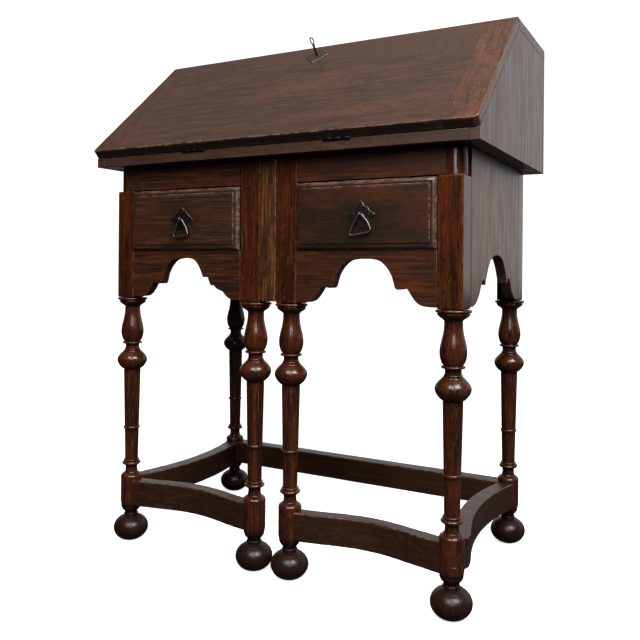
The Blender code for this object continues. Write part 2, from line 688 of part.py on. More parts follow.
apron_half = (opening_out - opening_in) / 2 - FIT
apron_outline = arched_outline(apron_half, panel_foot, apron_top, APRON_ARCH)
panel_front = front_y + BLOCK / 2
panel_back = back_y - BLOCK / 2 - FIT
panel_outline = arched_outline((panel_back - panel_front) / 2, panel_foot, STAND_HEIGHT, PANEL_ARCH)
panel_middle = (panel_front + panel_back) / 2
post_height = STAND_HEIGHT - panel_foot
for word, side in SIDES:
    gate = gate_axes[word]
    apron_place = (side * (opening_middle - post_x), stand_front + APRON_THICK / 2 - front_y, 0)
    link(f"{word}_gate_apron", outline_mesh(f"{word}_gate_apron", apron_outline, APRON_THICK),
         OAK_STAND, gate,
         apron_place, UPRIGHT_FRONT)
    panel_place = (side * (stand_side - PANEL_THICK / 2), panel_middle, 0)
    panel = link(f"{word}_side_panel", outline_mesh(f"{word}_side_panel", panel_outline, PANEL_THICK),
                 OAK_STAND,
                 None, panel_place, UPRIGHT_SIDE)
    boolean(panel, rod(f"{word}_panel_cove", corner_swing, post_height + 2 * OVERCUT,
                       (side * post_x, front_y, panel_foot + post_height / 2), sides=48))

# Fixed frame between and behind the gates
for word, side in SIDES:
    rail = box(f"{word}_front_rail", span(side, opening_in + RAIL_GAP, post_x),
               (stand_front, stand_front + RAIL_THICK),
               (rail_foot, STAND_HEIGHT), OAK_STAND)
    rail_height = STAND_HEIGHT - rail_foot + 2 * OVERCUT
    boolean(rail, rod(f"{word}_rail_cove", PIN_RADIUS + PIVOT_GAP, rail_height,
                      (side * post_x, front_y, (rail_foot + STAND_HEIGHT) / 2), sides=32))
    runner_x = span(side, drawer_out - RUNNER_SEAT, panel_in - FIT)
    box(f"{word}_drawer_runner", runner_x, (front_y + corner_swing, panel_back),
        (runner_top - RUNNER_THICK, runner_top),
        OAK_INSIDE)
muntin_half = MUNTIN_WIDTH / 2
muntin_back = stand_front + MUNTIN_DEPTH
box("centre_muntin", (-muntin_half, muntin_half), (stand_front, muntin_back),
    (panel_foot, STAND_HEIGHT), OAK_STAND)
middle_runner_half = drawer_in + RUNNER_SEAT
runner_y = (front_y + BLOCK / 2 + SWING_GAP, back_panel_front - FIT)
box("middle_drawer_runner", (-middle_runner_half, middle_runner_half), runner_y,
    (runner_top - RUNNER_THICK, runner_top), OAK_INSIDE)
box("drawer_divider", (-DIVIDER_THICK / 2, DIVIDER_THICK / 2), (muntin_back + FIT, back_panel_front - FIT),
    (runner_top + FIT, STAND_HEIGHT), OAK_INSIDE)
back_panel_half = post_x - BLOCK / 2 - FIT
box("stand_back_panel", (-back_panel_half, back_panel_half),
    (back_panel_front, back_panel_front + BACK_PANEL_THICK),
    (apron_top - BACK_PANEL_DROP, STAND_HEIGHT), OAK_STAND)


# Stretchers: bowed inwards in plan, scribed to the legs' round barrels, except where a gate turns
def bowed_outline(half_length, bow):
    """Plan of a bowed bar about its middle: both long edges are parabolas that sag inwards (to +V).
    Its ends lie inside the barrels, which are cut out of it."""
    steps = 10
    end = 1 - BARREL_RADIUS / 2 / half_length
    run = [end * (2 * i / steps - 1) for i in range(steps + 1)]
    outer = [(half_length * t, bow["sag"] * (1 - t * t) - bow["out"]) for t in run]
    return outer + [(u, v + bow["thick"]) for u, v in reversed(outer)]


stretcher_height = STRETCHER_TOP - STRETCHER_FOOT
stretcher_middle = (STRETCHER_TOP + STRETCHER_FOOT) / 2
side_half = (back_y - front_y) / 2
gate_stretcher = bowed_outline((post_x - inner_x) / 2, GATE_STRETCHER)
side_stretcher = bowed_outline(side_half, SIDE_STRETCHER)
front_end = front_y + BARREL_RADIUS + SWING_GAP


def barrel_cutter(name, x, y, gap, parent=None):
    return rod(name, BARREL_RADIUS + gap, stretcher_height + 2 * OVERCUT, (x, y, stretcher_middle),
               sides=32,
               parent=parent)


for word, side in SIDES:
    gate = gate_axes[word]
    reach = side * (inner_x - post_x)
    name = f"{word}_gate_stretcher"
    bar = link(name, outline_mesh(name, gate_stretcher, stretcher_height), OAK_STAND, gate,
               (reach / 2, 0, stretcher_middle))
    boolean(bar, barrel_cutter(f"{name}_outer_end", 0, 0, FIT, gate))
    boolean(bar, barrel_cutter(f"{name}_inner_end", reach, 0, FIT, gate))
    name = f"{word}_side_stretcher"
    bar = link(name, outline_mesh(name, side_stretcher, stretcher_height), OAK_STAND, None,
               (side * post_x, (front_y + back_y) / 2, stretcher_middle),
               (0, 0, side * (math.radians(90) + SIDE_STRETCHER_SKEW)))
    boolean(bar, box(f"{name}_front_end", span(side, inner_x, half_desk), (desk_front, front_end),
                     (STRETCHER_FOOT - OVERCUT, STRETCHER_TOP + OVERCUT)))
    boolean(bar, barrel_cutter(f"{name}_back_end", side * post_x, back_y, FIT))
back_stretcher_front = back_y - BACK_STRETCHER_FRONT
back_stretcher = box("back_stretcher", (-post_x, post_x),
                     (back_stretcher_front, back_stretcher_front + BACK_STRETCHER_THICK),
                     (STRETCHER_FOOT, STRETCHER_TOP), OAK_STAND)
for word, side in SIDES:
    boolean(back_stretcher, barrel_cutter(f"back_stretcher_{word}_end", side * post_x, back_y, FIT))


# Iron pivot plates: screwed flat under the side stretchers, with an eye between each gate leg and its foot
def pivot_plate_outline():
    """Round eye with a straight tail towards +V."""
    outer = PIVOT_EYE_RADIUS + PIVOT_EYE_WALL
    half_tail = PIVOT_PLATE_WIDTH / 2
    start = math.asin(half_tail / outer)
    sweep = 2 * math.pi - 2 * start
    steps = 20
    turn = [math.pi / 2 + start + sweep * i / steps for i in range(steps + 1)]
    eye = [(outer * math.cos(a), outer * math.sin(a)) for a in turn]
    return eye + [(half_tail, PIVOT_PLATE_LENGTH), (-half_tail, PIVOT_PLATE_LENGTH)]


bow_share = 1 - PIVOT_PLATE_LENGTH / side_half
bow_offset = SIDE_STRETCHER["sag"] * (1 - bow_share ** 2) - SIDE_STRETCHER["out"]
bow_offset += SIDE_STRETCHER["thick"] / 2 - side_half * bow_share * math.tan(SIDE_STRETCHER_SKEW)
tail_turn = math.atan2(bow_offset, PIVOT_PLATE_LENGTH)
for word, side in SIDES:
    name = f"{word}_pivot_plate"
    place = (side * post_x, front_y, (plate_top + plate_foot) / 2)
    plate = link(name, outline_mesh(name, pivot_plate_outline(), PIVOT_PLATE_THICK), IRON, None, place,
                 (0, 0, side * tail_turn))
    boolean(plate, rod(f"{name}_eye", PIVOT_EYE_RADIUS, PIVOT_PLATE_THICK + 2 * OVERCUT, place, sides=24))

# Drawers: a moulded front, and a tray behind it that runs on the runners
tray_top = drawer_top - TRAY_DROP
tray_foot = runner_top + FIT
tray_y = (tray_front, back_panel_front - DRAWER_BACK_GAP)
drawer_axes = {}
for word, side in SIDES:
    origin = (side * opening_middle, drawer_face, drawer_middle_z)
    drawer = drawer_axes[word] = empty(f"{word}_drawer_slide", origin)
    front = box(f"{word}_drawer_front", span(side, drawer_in, drawer_out), (drawer_face, tray_front - FIT),
                (drawer_foot, drawer_top), OAK_STAND, drawer, origin)
    bevel = front.modifiers.new("moulding", "BEVEL")
    bevel.width = DRAWER_MOULDING
    bevel.segments = 3
    bevel.limit_method = "WEIGHT"
    weights = front.data.attributes.new("bevel_weight_edge", "FLOAT", "EDGE")
    for edge in front.data.edges:
        ends = [front.data.vertices[i].co.y for i in edge.vertices]
        weights.data[edge.index].value = 1.0 if max(ends) < 0 else 0.0
    tray_x = span(side, drawer_in + SWING_GAP, drawer_out - SWING_GAP)
    tray = box(f"{word}_drawer_tray", tray_x, tray_y, (tray_foot, tray_top), OAK_INSIDE, drawer, origin)
    hollow_x = (tray_x[0] + DRAWER_WALL, tray_x[1] - DRAWER_WALL)
    hollow_y = (tray_y[0] - OVERCUT, tray_y[1] - DRAWER_WALL)
    boolean(tray,
            box(f"{word}_tray_hollow", hollow_x, hollow_y, (tray_foot + DRAWER_WALL, tray_top + OVERCUT),
                      parent=drawer, origin=origin))


# Drawer pulls: iron plate with a staple, and a stirrup bail that hangs in the staple
def rounded_triangle():
    """Bail outline: short level apex in the staple, straight legs, rounded lower corners, level grip."""
    leg = Vector((BAIL_HALF_WIDTH - BAIL_APEX, -BAIL_DROP)).normalized()
    corner = Vector((BAIL_HALF_WIDTH, -BAIL_DROP))
    start = corner - leg * BAIL_CORNER
    end = corner - Vector((BAIL_CORNER, 0))
    half_points = [Vector((BAIL_APEX / 2, 0)), Vector((BAIL_APEX, -BAIL_APEX / 2)), start]
    half_points += [(start + corner * 2 + end) / 4, end]
    points = half_points + [Vector((-p.x, p.y)) for p in reversed(half_points)]
    return [(p.x, 0, p.y) for p in points]


pull_outline = lozenge(PULL_HALF_WIDTH, PULL_HALF_HEIGHT, PULL_LOBE)
pull_plate_y = -FIT - PLATE_THICK / 2
staple_y = -FIT - PLATE_THICK - STAPLE_RADIUS
staple_ring = [(0, STAPLE_RADIUS * math.cos(a), STAPLE_RADIUS * math.sin(a))
               for a in (2 * math.pi * i / 12 for i in range(12))]
for word, side in SIDES:
    drawer = drawer_axes[word]
    name = f"{word}_pull_plate"
    plate = link(name, outline_mesh(name, pull_outline, PLATE_THICK), IRON, drawer,
                 (0, pull_plate_y, 0), UPRIGHT_FRONT)
    staple = link(f"{word}_staple", wire_mesh(f"{word}_staple", staple_ring, STAPLE_WIRE), None, drawer,
                  (0, staple_y, 0))
    boolean(plate, staple, "UNION")
    bail_axis = empty(f"{word}_bail_axis", (0, staple_y, 0), parent=drawer)
    link(f"{word}_pull_bail", smooth(wire_mesh(f"{word}_pull_bail", rounded_triangle(), BAIL_WIRE)),
         IRON, bail_axis)
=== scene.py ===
"""Dark oak writing bureau on a gateleg stand: the finish of every piece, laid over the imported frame.

Units are metres. +Z is up, the front faces -Y, and left and right are the viewer's.
"""
import json
import math

import bmesh
import bpy
import numpy as np
from mathutils import Matrix, Vector


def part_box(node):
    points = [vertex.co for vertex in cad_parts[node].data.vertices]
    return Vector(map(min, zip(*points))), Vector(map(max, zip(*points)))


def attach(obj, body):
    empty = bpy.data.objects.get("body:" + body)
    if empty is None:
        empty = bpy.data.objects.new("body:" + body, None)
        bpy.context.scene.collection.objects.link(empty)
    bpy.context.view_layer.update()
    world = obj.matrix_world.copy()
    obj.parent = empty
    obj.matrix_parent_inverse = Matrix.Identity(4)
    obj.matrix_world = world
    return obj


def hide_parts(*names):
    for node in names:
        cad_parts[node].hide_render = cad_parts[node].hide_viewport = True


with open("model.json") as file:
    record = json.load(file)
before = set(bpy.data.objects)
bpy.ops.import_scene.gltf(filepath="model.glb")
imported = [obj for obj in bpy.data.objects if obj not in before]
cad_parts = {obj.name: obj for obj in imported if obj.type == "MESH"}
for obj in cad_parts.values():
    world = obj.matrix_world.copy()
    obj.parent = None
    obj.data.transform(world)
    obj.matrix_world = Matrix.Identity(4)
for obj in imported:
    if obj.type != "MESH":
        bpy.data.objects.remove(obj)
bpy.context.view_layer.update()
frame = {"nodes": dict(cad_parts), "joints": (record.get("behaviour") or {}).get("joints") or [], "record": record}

# Turned legs
# Six legs, each turned from a 41 mm square of oak. The square block stays at the top for the joints, and the
# turning runs down through ring, vase, knop and shaft to the barrel that takes the stretchers.
bodies = frame["record"]["behaviour"]["bodies"]
home = {node: body for body, nodes in bodies.items() for node in nodes}
slots = {part["node"]: part["material_slot"] for part in frame["record"]["subparts"]}
SIDES = (("left", -1), ("right", 1))


def linear(hex_colour):
    """sRGB hex colour as the linear RGBA that a shader takes."""
    srgb = np.array([int(hex_colour[i:i + 2], 16) for i in (0, 2, 4)]) / 255
    return (*np.where(srgb <= 0.04045, srgb / 12.92, ((srgb + 0.055) / 1.055) ** 2.4), 1.0)


def feed(node, inputs):
    """Set a shader node's inputs: each is a value for that socket, or another node's output to link."""
    for socket, value in inputs.items():
        if isinstance(value, bpy.types.NodeSocket):
            node.id_data.links.new(value, node.inputs[socket])
        else:
            node.inputs[socket].default_value = value


def add_node(tree, kind, inputs, output=0, **settings):
    """Add a shader node with its settings and inputs, and give one of its outputs."""
    made = tree.nodes.new(f"ShaderNode{kind}")
    for word, value in settings.items():
        setattr(made, word, value)
    feed(made, inputs)
    return made.outputs[output]


def new_finish(name):
    """Material with nodes, its node tree, and its shader."""
    material = bpy.data.materials.new(name)
    material.use_nodes = True
    return material, material.node_tree, material.node_tree.nodes["Principled BSDF"]


# Sockets of a Mix node that mixes colours
MIX_A, MIX_B, MIX_COLOUR = 6, 7, 2
# The last tone is grime, and also painted shade on dark edge faces and the painted shadow round the pulls
MOTTLE_TONE, PORE_TONE, DIRT_AND_SHADE_TONE = "160b06", "120a07", "0d0706"


def stained_oak(name, tones, red, worn_and_lit, gloss, figure=0.007, patchy=0.55, rub=0.4, fleck=0.0, mottle=0.25,
                relief=0.2, patch=0.035, broad=0.4, polish=0.5, grease_and_shadow_centre=None):
    """Oak, planed or turned, stained dark and waxed over many years.

    To the eye: streaks of figure along the grain, finer growth lines and open pores, reddish patches where
    the stain has thinned, dark mottling, ray flecks on quartered faces, rubbed arrises that also carry painted
    light, black dirt in the hollows with painted shade on edges set dark, and, where a place that is handled is
    given, a dark bloom round it of hand grease and the painted shadow of the pull.
    """
    material, tree, shader = new_finish(name)
    timber = add_node(tree, "Attribute", {}, "Vector", attribute_name="grain")
    rubbed = add_node(tree, "Attribute", {}, "Fac", attribute_name="wear")
    dirt_and_shade = add_node(tree, "Attribute", {}, "Fac", attribute_name="grime")
    pattern = {}
    # Length along the grain, width across it, detail, and the noise span that is drawn. Pores and growth
    # lines are about four times their real width, or they would not show.
    for word, (along, across, detail, low, high) in {
        "figure": (0.11, figure, 4.0, 0.36, 0.64),
        "rings": (0.07, 0.0024, 3.0, 0.34, 0.66),
        "pores": (0.009, 0.0013, 2.0, 0.52, 0.70),
        "stain": (3 * patch, patch, 4.0, 0.45, 0.72),
        "mottle": (0.020, 0.011, 3.0, 0.50, 0.70),
        "rays": (0.014, 0.0026, 2.0, 0.58, 0.72),
        "rub": (0.011, 0.005, 3.0, 0.40, 0.60),
    }.items():
        place = add_node(tree, "Mapping", {"Vector": timber, "Scale": (1 / along, 1 / across, 1 / across)})
        noise = add_node(tree, "TexNoise", {"Vector": place, "Scale": 1.0, "Detail": detail})
        pattern[word] = add_node(tree, "MapRange", {"Value": noise, "From Min": low, "From Max": high})
    lines = add_node(tree, "Math", {0: pattern["rings"], 1: 1 - broad}, operation="MULTIPLY")
    depth = add_node(tree, "Math", {0: pattern["figure"], 1: broad, 2: lines}, operation="MULTIPLY_ADD")
    colour = add_node(tree, "ValToRGB", {"Fac": depth})
    stops = colour.node.color_ramp.elements
    stops.new(0.5)
    for stop, place, tone in zip(stops, (0.2, 0.5, 0.8), tones):
        stop.position = place
        stop.color = linear(tone)
    bared_and_lit = add_node(tree, "Math", {0: rubbed, 1: pattern["rub"]}, operation="MULTIPLY")
    # Over the grain, from the lowest layer up: where it shows, how strongly, and its colour
    layers = [
        (pattern["stain"], patchy, red),
        (pattern["mottle"], mottle, MOTTLE_TONE),
        (pattern["rays"], fleck, worn_and_lit),
        (pattern["pores"], 0.6, PORE_TONE),
        # Pale where arrises are worn, and on the drawer mouldings also as painted light
        (bared_and_lit, rub, worn_and_lit),
        # Dark with grime in hollows, and with painted shade on an edge face that is set dark
        (dirt_and_shade, 0.75, DIRT_AND_SHADE_TONE),
    ]
    # A dark bloom round the pull: hand grease and the pull's painted shadow
    if grease_and_shadow_centre:
        place = add_node(tree, "TexCoord", {}, "Object")
        place = add_node(tree, "VectorMath", {0: place}, operation="ABSOLUTE")
        off = add_node(tree, "VectorMath", {0: place, 1: grease_and_shadow_centre}, "Value", operation="DISTANCE")
        near = {"Value": off, "From Min": 0.012, "From Max": 0.042, "To Min": 1.0, "To Max": 0.0}
        layers.append((add_node(tree, "MapRange", near, interpolation_type="SMOOTHSTEP"), 0.6, DIRT_AND_SHADE_TONE))
    for amount, strength, tone in layers:
        share = add_node(tree, "Math", {0: amount, 1: strength}, operation="MULTIPLY")
        mixed = {0: share, MIX_A: colour, MIX_B: linear(tone)}
        colour = add_node(tree, "Mix", mixed, MIX_COLOUR, data_type="RGBA")
    shine = {"Value": depth, "From Min": 0.2, "From Max": 0.8, "To Min": gloss + 0.08, "To Max": gloss - 0.05}
    height = add_node(tree, "Math", {0: depth, 1: pattern["pores"]}, operation="SUBTRACT")
    feed(shader, {
        "Base Color": colour,
        "Roughness": add_node(tree, "MapRange", shine),
        "Normal": add_node(tree, "Bump", {"Height": height, "Strength": relief, "Distance": 0.0004}),
        "Specular IOR Level": polish,
        "Coat Weight": 0.10,
        "Coat Roughness": 0.16,
    })
    return material


def dress(node, mesh, material, name=None, slot=None):
    """Put a mesh in the scene in place of a CAD node. It moves with the node's body, takes the node's slot
    unless another is given, and is named for the node, or as given, and for what it is made of."""
    slot = slot or slots[node]
    mesh.materials.clear()
    mesh.materials.append(material)
    made = bpy.data.objects.new(f"{name or node}_{'iron' if slot == 'black_iron' else 'oak'}", mesh)
    bpy.context.scene.collection.objects.link(made)
    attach(made, home[node])
    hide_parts(node)
    return made


SHARP_EDGE = math.radians(38)


def piece(node, material, *shells, name=None, slot=None):
    """One object from closed shells, each a dict of points, blocks of faces, grain, wear with painted light,
    and grime with painted shade.
    """
    first = np.cumsum([0] + [len(shell["points"]) for shell in shells])
    faces = [(block + start).tolist() for shell, start in zip(shells, first) for block in shell["faces"]]
    mesh = bpy.data.meshes.new(name or node)
    mesh.from_pydata(np.concatenate([shell["points"] for shell in shells]).tolist(), [], sum(faces, []))
    for word, kind, field in (("grain", "FLOAT_VECTOR", "vector"), ("wear", "FLOAT", "value"),
                              ("grime", "FLOAT", "value")):
        values = np.concatenate([shell[word] for shell in shells]).astype(np.float32)
        mesh.attributes.new(word, kind, "POINT").data.foreach_set(field, values.ravel())
    mesh.shade_smooth()
    mesh.set_sharp_from_angle(angle=SHARP_EDGE)
    return dress(node, mesh, material, name, slot)


FACING = {
    "front": ((1, 0, 0), (0, 0, 1)),
    "back": ((-1, 0, 0), (0, 0, 1)),
    "left": ((0, -1, 0), (0, 0, 1)),
    "right": ((0, 1, 0), (0, 0, 1)),
    "top": ((1, 0, 0), (0, 1, 0)),
}


def axes(facing):
    """Unit vectors of a face: across it, up it, and out of it."""
    across, up = np.array(FACING[facing], float)
    return across, up, np.cross(across, up)


def ring_faces(rings, samples, closed=False):
    """Blocks of faces on rings of points that each close on themselves: the quads between the rings, and,
    where the last ring doesn't join the first, a cap on each."""
    here = np.arange(samples)
    ahead = np.roll(here, -1)
    start = np.arange(rings if closed else rings - 1)[:, None] * samples
    after = (start + samples) % (rings * samples)
    quads = np.stack([start + here, after + here, after + ahead, start + ahead], axis=-1).reshape(-1, 4)
    caps = np.stack([here, here[::-1] + (rings - 1) * samples])
    return [quads] if closed else [quads, caps]


def full_turn(count):
    """Even angles round a circle."""
    return np.arange(count) * 2 * np.pi / count


TURN_SIDES = 96
# The angles crowd together at the corners of a square block
TURN = full_turn(TURN_SIDES) + 0.18 * np.sin(4 * full_turn(TURN_SIDES))
# Span of what counts as nearby, and the height above it that is fully worn
NEARBY, PROUD = 0.005, 0.003


def turned_shell(origin, facing, height, reach, seed, turn=TURN):
    """Turned or squared surface about an axis out of a face: at a height and an angle the point lies reach
    from the axis. Wear is where the mean radius stands above what is nearby, grime where it lies below."""
    across, up, out = axes(facing)
    reach = np.broadcast_to(np.asarray(reach, float).reshape(len(height), -1), (len(height), len(turn)))
    flat = reach[..., None] * (np.cos(turn)[:, None] * across + np.sin(turn)[:, None] * up)
    points = np.asarray(origin) + flat + height[:, None, None] * out
    mean = reach.mean(axis=1)
    weight = np.exp(-((height[:, None] - height) / NEARBY) ** 2) * np.abs(np.gradient(height) + 1e-6)
    above = np.repeat((mean - weight @ mean / weight.sum(axis=1)) / PROUD, len(turn))
    shift = np.random.default_rng(seed).uniform(0, 9, 3)
    along = np.broadcast_to(height[:, None], reach.shape)
    grain = np.stack([along, reach * np.cos(turn), reach * np.sin(turn)], axis=-1) + shift
    return dict(points=points.reshape(-1, 3), faces=ring_faces(len(height), len(turn)),
                grain=grain.reshape(-1, 3), wear=0.25 * np.clip(above, 0, 1), grime=np.clip(-above, 0, 1))


def swell(top, foot, r_top, r_foot, bulge=0.0, widest=0.5, fullness=1.0, steps=12):
    """(height, radius) down a member: a taper plus a bulge, widest at a share of it. The bulge is a sine to
    the power of fullness, which is one number, or one above the widest place and one below it: over 1 draws
    in, under 1 fills out."""
    t = np.linspace(0, 1, steps)
    turn = np.where(t < widest, t / widest, 1 + (t - widest) / (1 - widest)) * np.pi / 2
    round_part = np.clip(np.sin(turn), 0, 1) ** np.where(t < widest, *np.broadcast_to(fullness, 2))
    return np.stack([top + (foot - top) * t, r_top + (r_foot - r_top) * t + bulge * round_part], axis=1)


def ogee(top, foot, r_top, r_foot, steps):
    """(height, radius) down a member that is hollow at one end and round at the other: half a cosine."""
    t = np.linspace(0, 1, steps)
    share = 0.5 + 0.5 * np.cos(np.pi * t)
    return np.stack([top + (foot - top) * t, r_foot + (r_top - r_foot) * share], axis=1)


BLOCK_HALF, BLOCK_FOOT, BLOCK_ARRIS, BLOCK_MARGIN = 0.0205, 0.4757, 0.0016, 0.004
POST_TOP = 0.6822
PIN_RADIUS, PIN_CHAMFER, PIN_GAP = 0.0202, 0.0006, 0.0002
knop = swell(0.3722, 0.3340, 0.0152, 0.0152, 0.0133, fullness=(1.1, 0.75), steps=36)
# Down the turning: ring, bead and cove, vase, collar and neck, knop, shaft with its bead, ankle and barrel
leg_turning = np.concatenate([
    [(BLOCK_FOOT, 0.0185), (0.4751, 0.0185)],
    swell(0.4750, 0.4704, 0.0262, 0.0262, 0.0022, fullness=0.4, steps=11),
    [(0.4702, 0.0236), (0.4696, 0.0236)],
    swell(0.4694, 0.4672, 0.0252, 0.0252, 0.0006, fullness=0.5, steps=7),
    ogee(0.4670, 0.4567, 0.0246, 0.0144, steps=14),
    swell(0.4560, 0.3890, 0.0145, 0.0148, 0.0067, widest=0.70, fullness=(2.6, 0.6), steps=36),
    swell(0.3888, 0.3840, 0.0152, 0.0152, 0.0039, fullness=0.45, steps=11),
    swell(0.3837, 0.3748, 0.0132, 0.0136, -0.0004, steps=8),
    swell(0.3746, 0.3722, 0.0141, 0.0147, 0.0007, fullness=0.6, steps=7),
    [(0.3718, 0.0145), (0.3712, 0.0160), (0.3697, 0.0178), (0.3693, 0.0179), (0.3689, 0.0172)],
    knop[knop[:, 0] < 0.3686],
    [(0.3337, 0.0150)],
    swell(0.3332, 0.2223, 0.0160, 0.0137, steps=14),
    swell(0.2221, 0.2159, 0.0137, 0.0136, 0.0018, fullness=0.6, steps=9),
    swell(0.2156, 0.1571, 0.0134, 0.0124, steps=8),
    swell(0.1569, 0.1533, 0.0126, 0.0130, 0.0020, fullness=0.6, steps=8),
    swell(0.1530, 0.1452, 0.0132, 0.0124, 0.0049, fullness=0.6, steps=11),
    swell(0.1449, 0.1312, 0.0116, 0.0122, -0.0008, steps=8),
    swell(0.1308, 0.1210, 0.0126, 0.0199, 0.0030, steps=10),
    [(0.1205, 0.0200), (0.1189, 0.0200), (0.1186, 0.0195), (0.1183, 0.0200)],
    [(0.1163, 0.0200), (0.1160, 0.0195), (0.1157, 0.0200)],
    [(0.0842, 0.0200), (0.0839, 0.0197), (0.0836, 0.0200)],
    [(0.0770, 0.0200), (0.0730, 0.0198), (0.0705, 0.0194), (0.0687, 0.0189)],
])


def square_reach(half, arris):
    """Distance to the side of a square with rounded corners, along each angle of the turn."""
    near, far = np.sort(np.abs([np.cos(TURN), np.sin(TURN)]), axis=0)
    middle = half - arris
    run = middle * (near + far)
    bow = run + np.sqrt(np.maximum(run ** 2 - 2 * middle ** 2 + arris ** 2, 0))
    return np.where(near / far * half > middle, bow, half / far)


def leg_shell(axis, top, seed, pin_side):
    """Square block with eased arrises, over the turning. A pivot leg, with a pin_side of -1 or 1, has a block
    that stops short, with its inner back corner rounded about the axis, and a round pin above it."""
    ease = np.radians([0, 30, 60, 90])
    drop, draw = BLOCK_ARRIS * (1 - np.cos(ease)), BLOCK_ARRIS * (1 - np.sin(ease))
    block_top = POST_TOP if pin_side else top
    sides = np.linspace(block_top - BLOCK_MARGIN, BLOCK_FOOT + BLOCK_MARGIN, 14)
    height = np.concatenate([block_top - drop, sides, BLOCK_FOOT + drop[::-1]])
    inset = np.concatenate([draw, np.zeros(len(sides)), draw[::-1]])
    reach = np.stack([square_reach(BLOCK_HALF - i, BLOCK_ARRIS * 1.3) for i in inset])
    # The arrises are worn, from 1.29 times the block's half out from the axis
    corner = 0.6 * np.clip((reach / BLOCK_HALF - 1.29) / 0.07, 0, 1)
    if pin_side:
        rounded = (np.cos(TURN) * pin_side < 0) & (np.sin(TURN) > 0)
        reach = np.where(rounded, np.minimum(reach, BLOCK_HALF - inset[:, None]), reach)
        pin = np.array([(top, PIN_RADIUS - PIN_CHAMFER), (top - PIN_CHAMFER, PIN_RADIUS),
                        (block_top + PIN_GAP, PIN_RADIUS)])
        height = np.concatenate([pin[:, 0], height])
        reach = np.concatenate([np.repeat(pin[:, 1:], TURN_SIDES, axis=1), reach])
        corner[:len(ease)] = 0.5
        corner = np.concatenate([np.zeros((len(pin), TURN_SIDES)), corner])
    height = np.concatenate([height, leg_turning[:, 0]])
    reach = np.concatenate([reach, np.repeat(leg_turning[:, 1:], TURN_SIDES, axis=1)])
    shell = turned_shell((*axis, 0), "top", height, reach, seed)
    shell["wear"][:corner.size] = corner.ravel()
    return shell


def middle_of(node):
    """Middle of a CAD node's box."""
    return np.mean(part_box(node), axis=0)


# Dark red-brown, with pale flecks and small sharp glints
oak_turned = stained_oak("turned_oak_dark_stain", ("1c0b05", "2d1308", "43200d"), "4c1b07", "7a4c22",
                         gloss=0.20, figure=0.009, fleck=0.25, mottle=0.35, relief=0.05, polish=0.3)
stand_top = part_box("centre_muntin")[1].z
leg_axes = {node: middle_of(node)[:2] for node in sorted(home) if node.endswith("_leg")}
for seed, (node, axis) in enumerate(leg_axes.items(), 10):
    pin_side = dict(SIDES)[node.split("_")[0]] if node.endswith("outer_leg") else 0
    piece(node, oak_turned, leg_shell(axis, stand_top, seed, pin_side))

# Ball feet
# Each foot is turned from one oak billet: a cone and neck that carry on the leg's barrel, and a flattened
# ball with a cut line near its top. It is pegged up into the leg, and its wax is the darkest of the stand.
BALL_RADIUS, BALL_HALF_HEIGHT, BALL_CENTRE = 0.033, 0.0255, 0.0230
COLLAR_RADIUS, SPIGOT_RADIUS = 0.0128, 0.0116
PIVOT_CONE_TOP = 0.0661
CUT_PLACE, CUT_WIDTH, CUT_DEPTH = math.radians(47), math.radians(1.8), 0.0007


def foot_profile(cone_top, spigot):
    """(height, radius) down a foot. The ball is an ellipse from its collar to the flat that it stands on."""
    fall = np.linspace(np.arccos(COLLAR_RADIUS / BALL_RADIUS), -np.arcsin(BALL_CENTRE / BALL_HALF_HEIGHT), 44)
    cut_line = CUT_DEPTH * np.exp(-((fall - CUT_PLACE) / CUT_WIDTH) ** 2)
    radius = BALL_RADIUS * np.cos(fall) - cut_line
    ball = np.stack([BALL_CENTRE + BALL_HALF_HEIGHT * np.sin(fall), radius], axis=1)
    ball[-1, 0] = 0.0
    head = [(cone_top + spigot, SPIGOT_RADIUS), (cone_top + 0.0001, SPIGOT_RADIUS)] if spigot else []
    return np.concatenate([
        np.reshape(head, (-1, 2)),
        [(cone_top, 0.0180), (cone_top - 0.0004, 0.0187)],
        swell(cone_top - 0.0008, 0.0545, 0.0188, 0.0122, 0.0016, steps=14),
        swell(0.0543, 0.0512, 0.0119, 0.0119, -0.0004, steps=6),
        swell(0.0510, 0.0488, 0.0126, COLLAR_RADIUS, 0.0008, fullness=0.6, steps=7),
        ball,
    ])


# Almost black, with little figure to see
oak_feet = stained_oak("turned_oak_black_wax", ("110806", "1b0e0a", "281611"), "28120b", "43291e",
                       gloss=0.30, figure=0.006, patchy=0.7, polish=0.18)
for seed, node in enumerate([node for node in sorted(home) if node.endswith("_foot")], 20):
    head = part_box(node)[1].z
    cone_top = PIVOT_CONE_TOP if node.endswith("outer_foot") else head
    foot = foot_profile(cone_top, head - cone_top)
    piece(node, oak_feet, turned_shell((*middle_of(node)[:2], 0), "top", foot[:, 0], foot[:, 1], seed))

# Aprons and side panels
# Oak boards tenoned between the posts, with an arch sawn in the lower edge: a flattened round, a cusp and
# an ogee on each side. The aprons' grain lies level, the panels' stands upright.


def wander(along, length, seed):
    """Smooth uneven curve of about -1 to 1: five sines near that wavelength with seeded phases."""
    draw = np.random.default_rng(seed)
    waves = np.multiply.outer(along, draw.uniform(0.6, 2.2, 5) / length)
    return np.sin(2 * np.pi * waves + draw.uniform(0, 2 * np.pi, 5)).mean(axis=-1) * 1.6


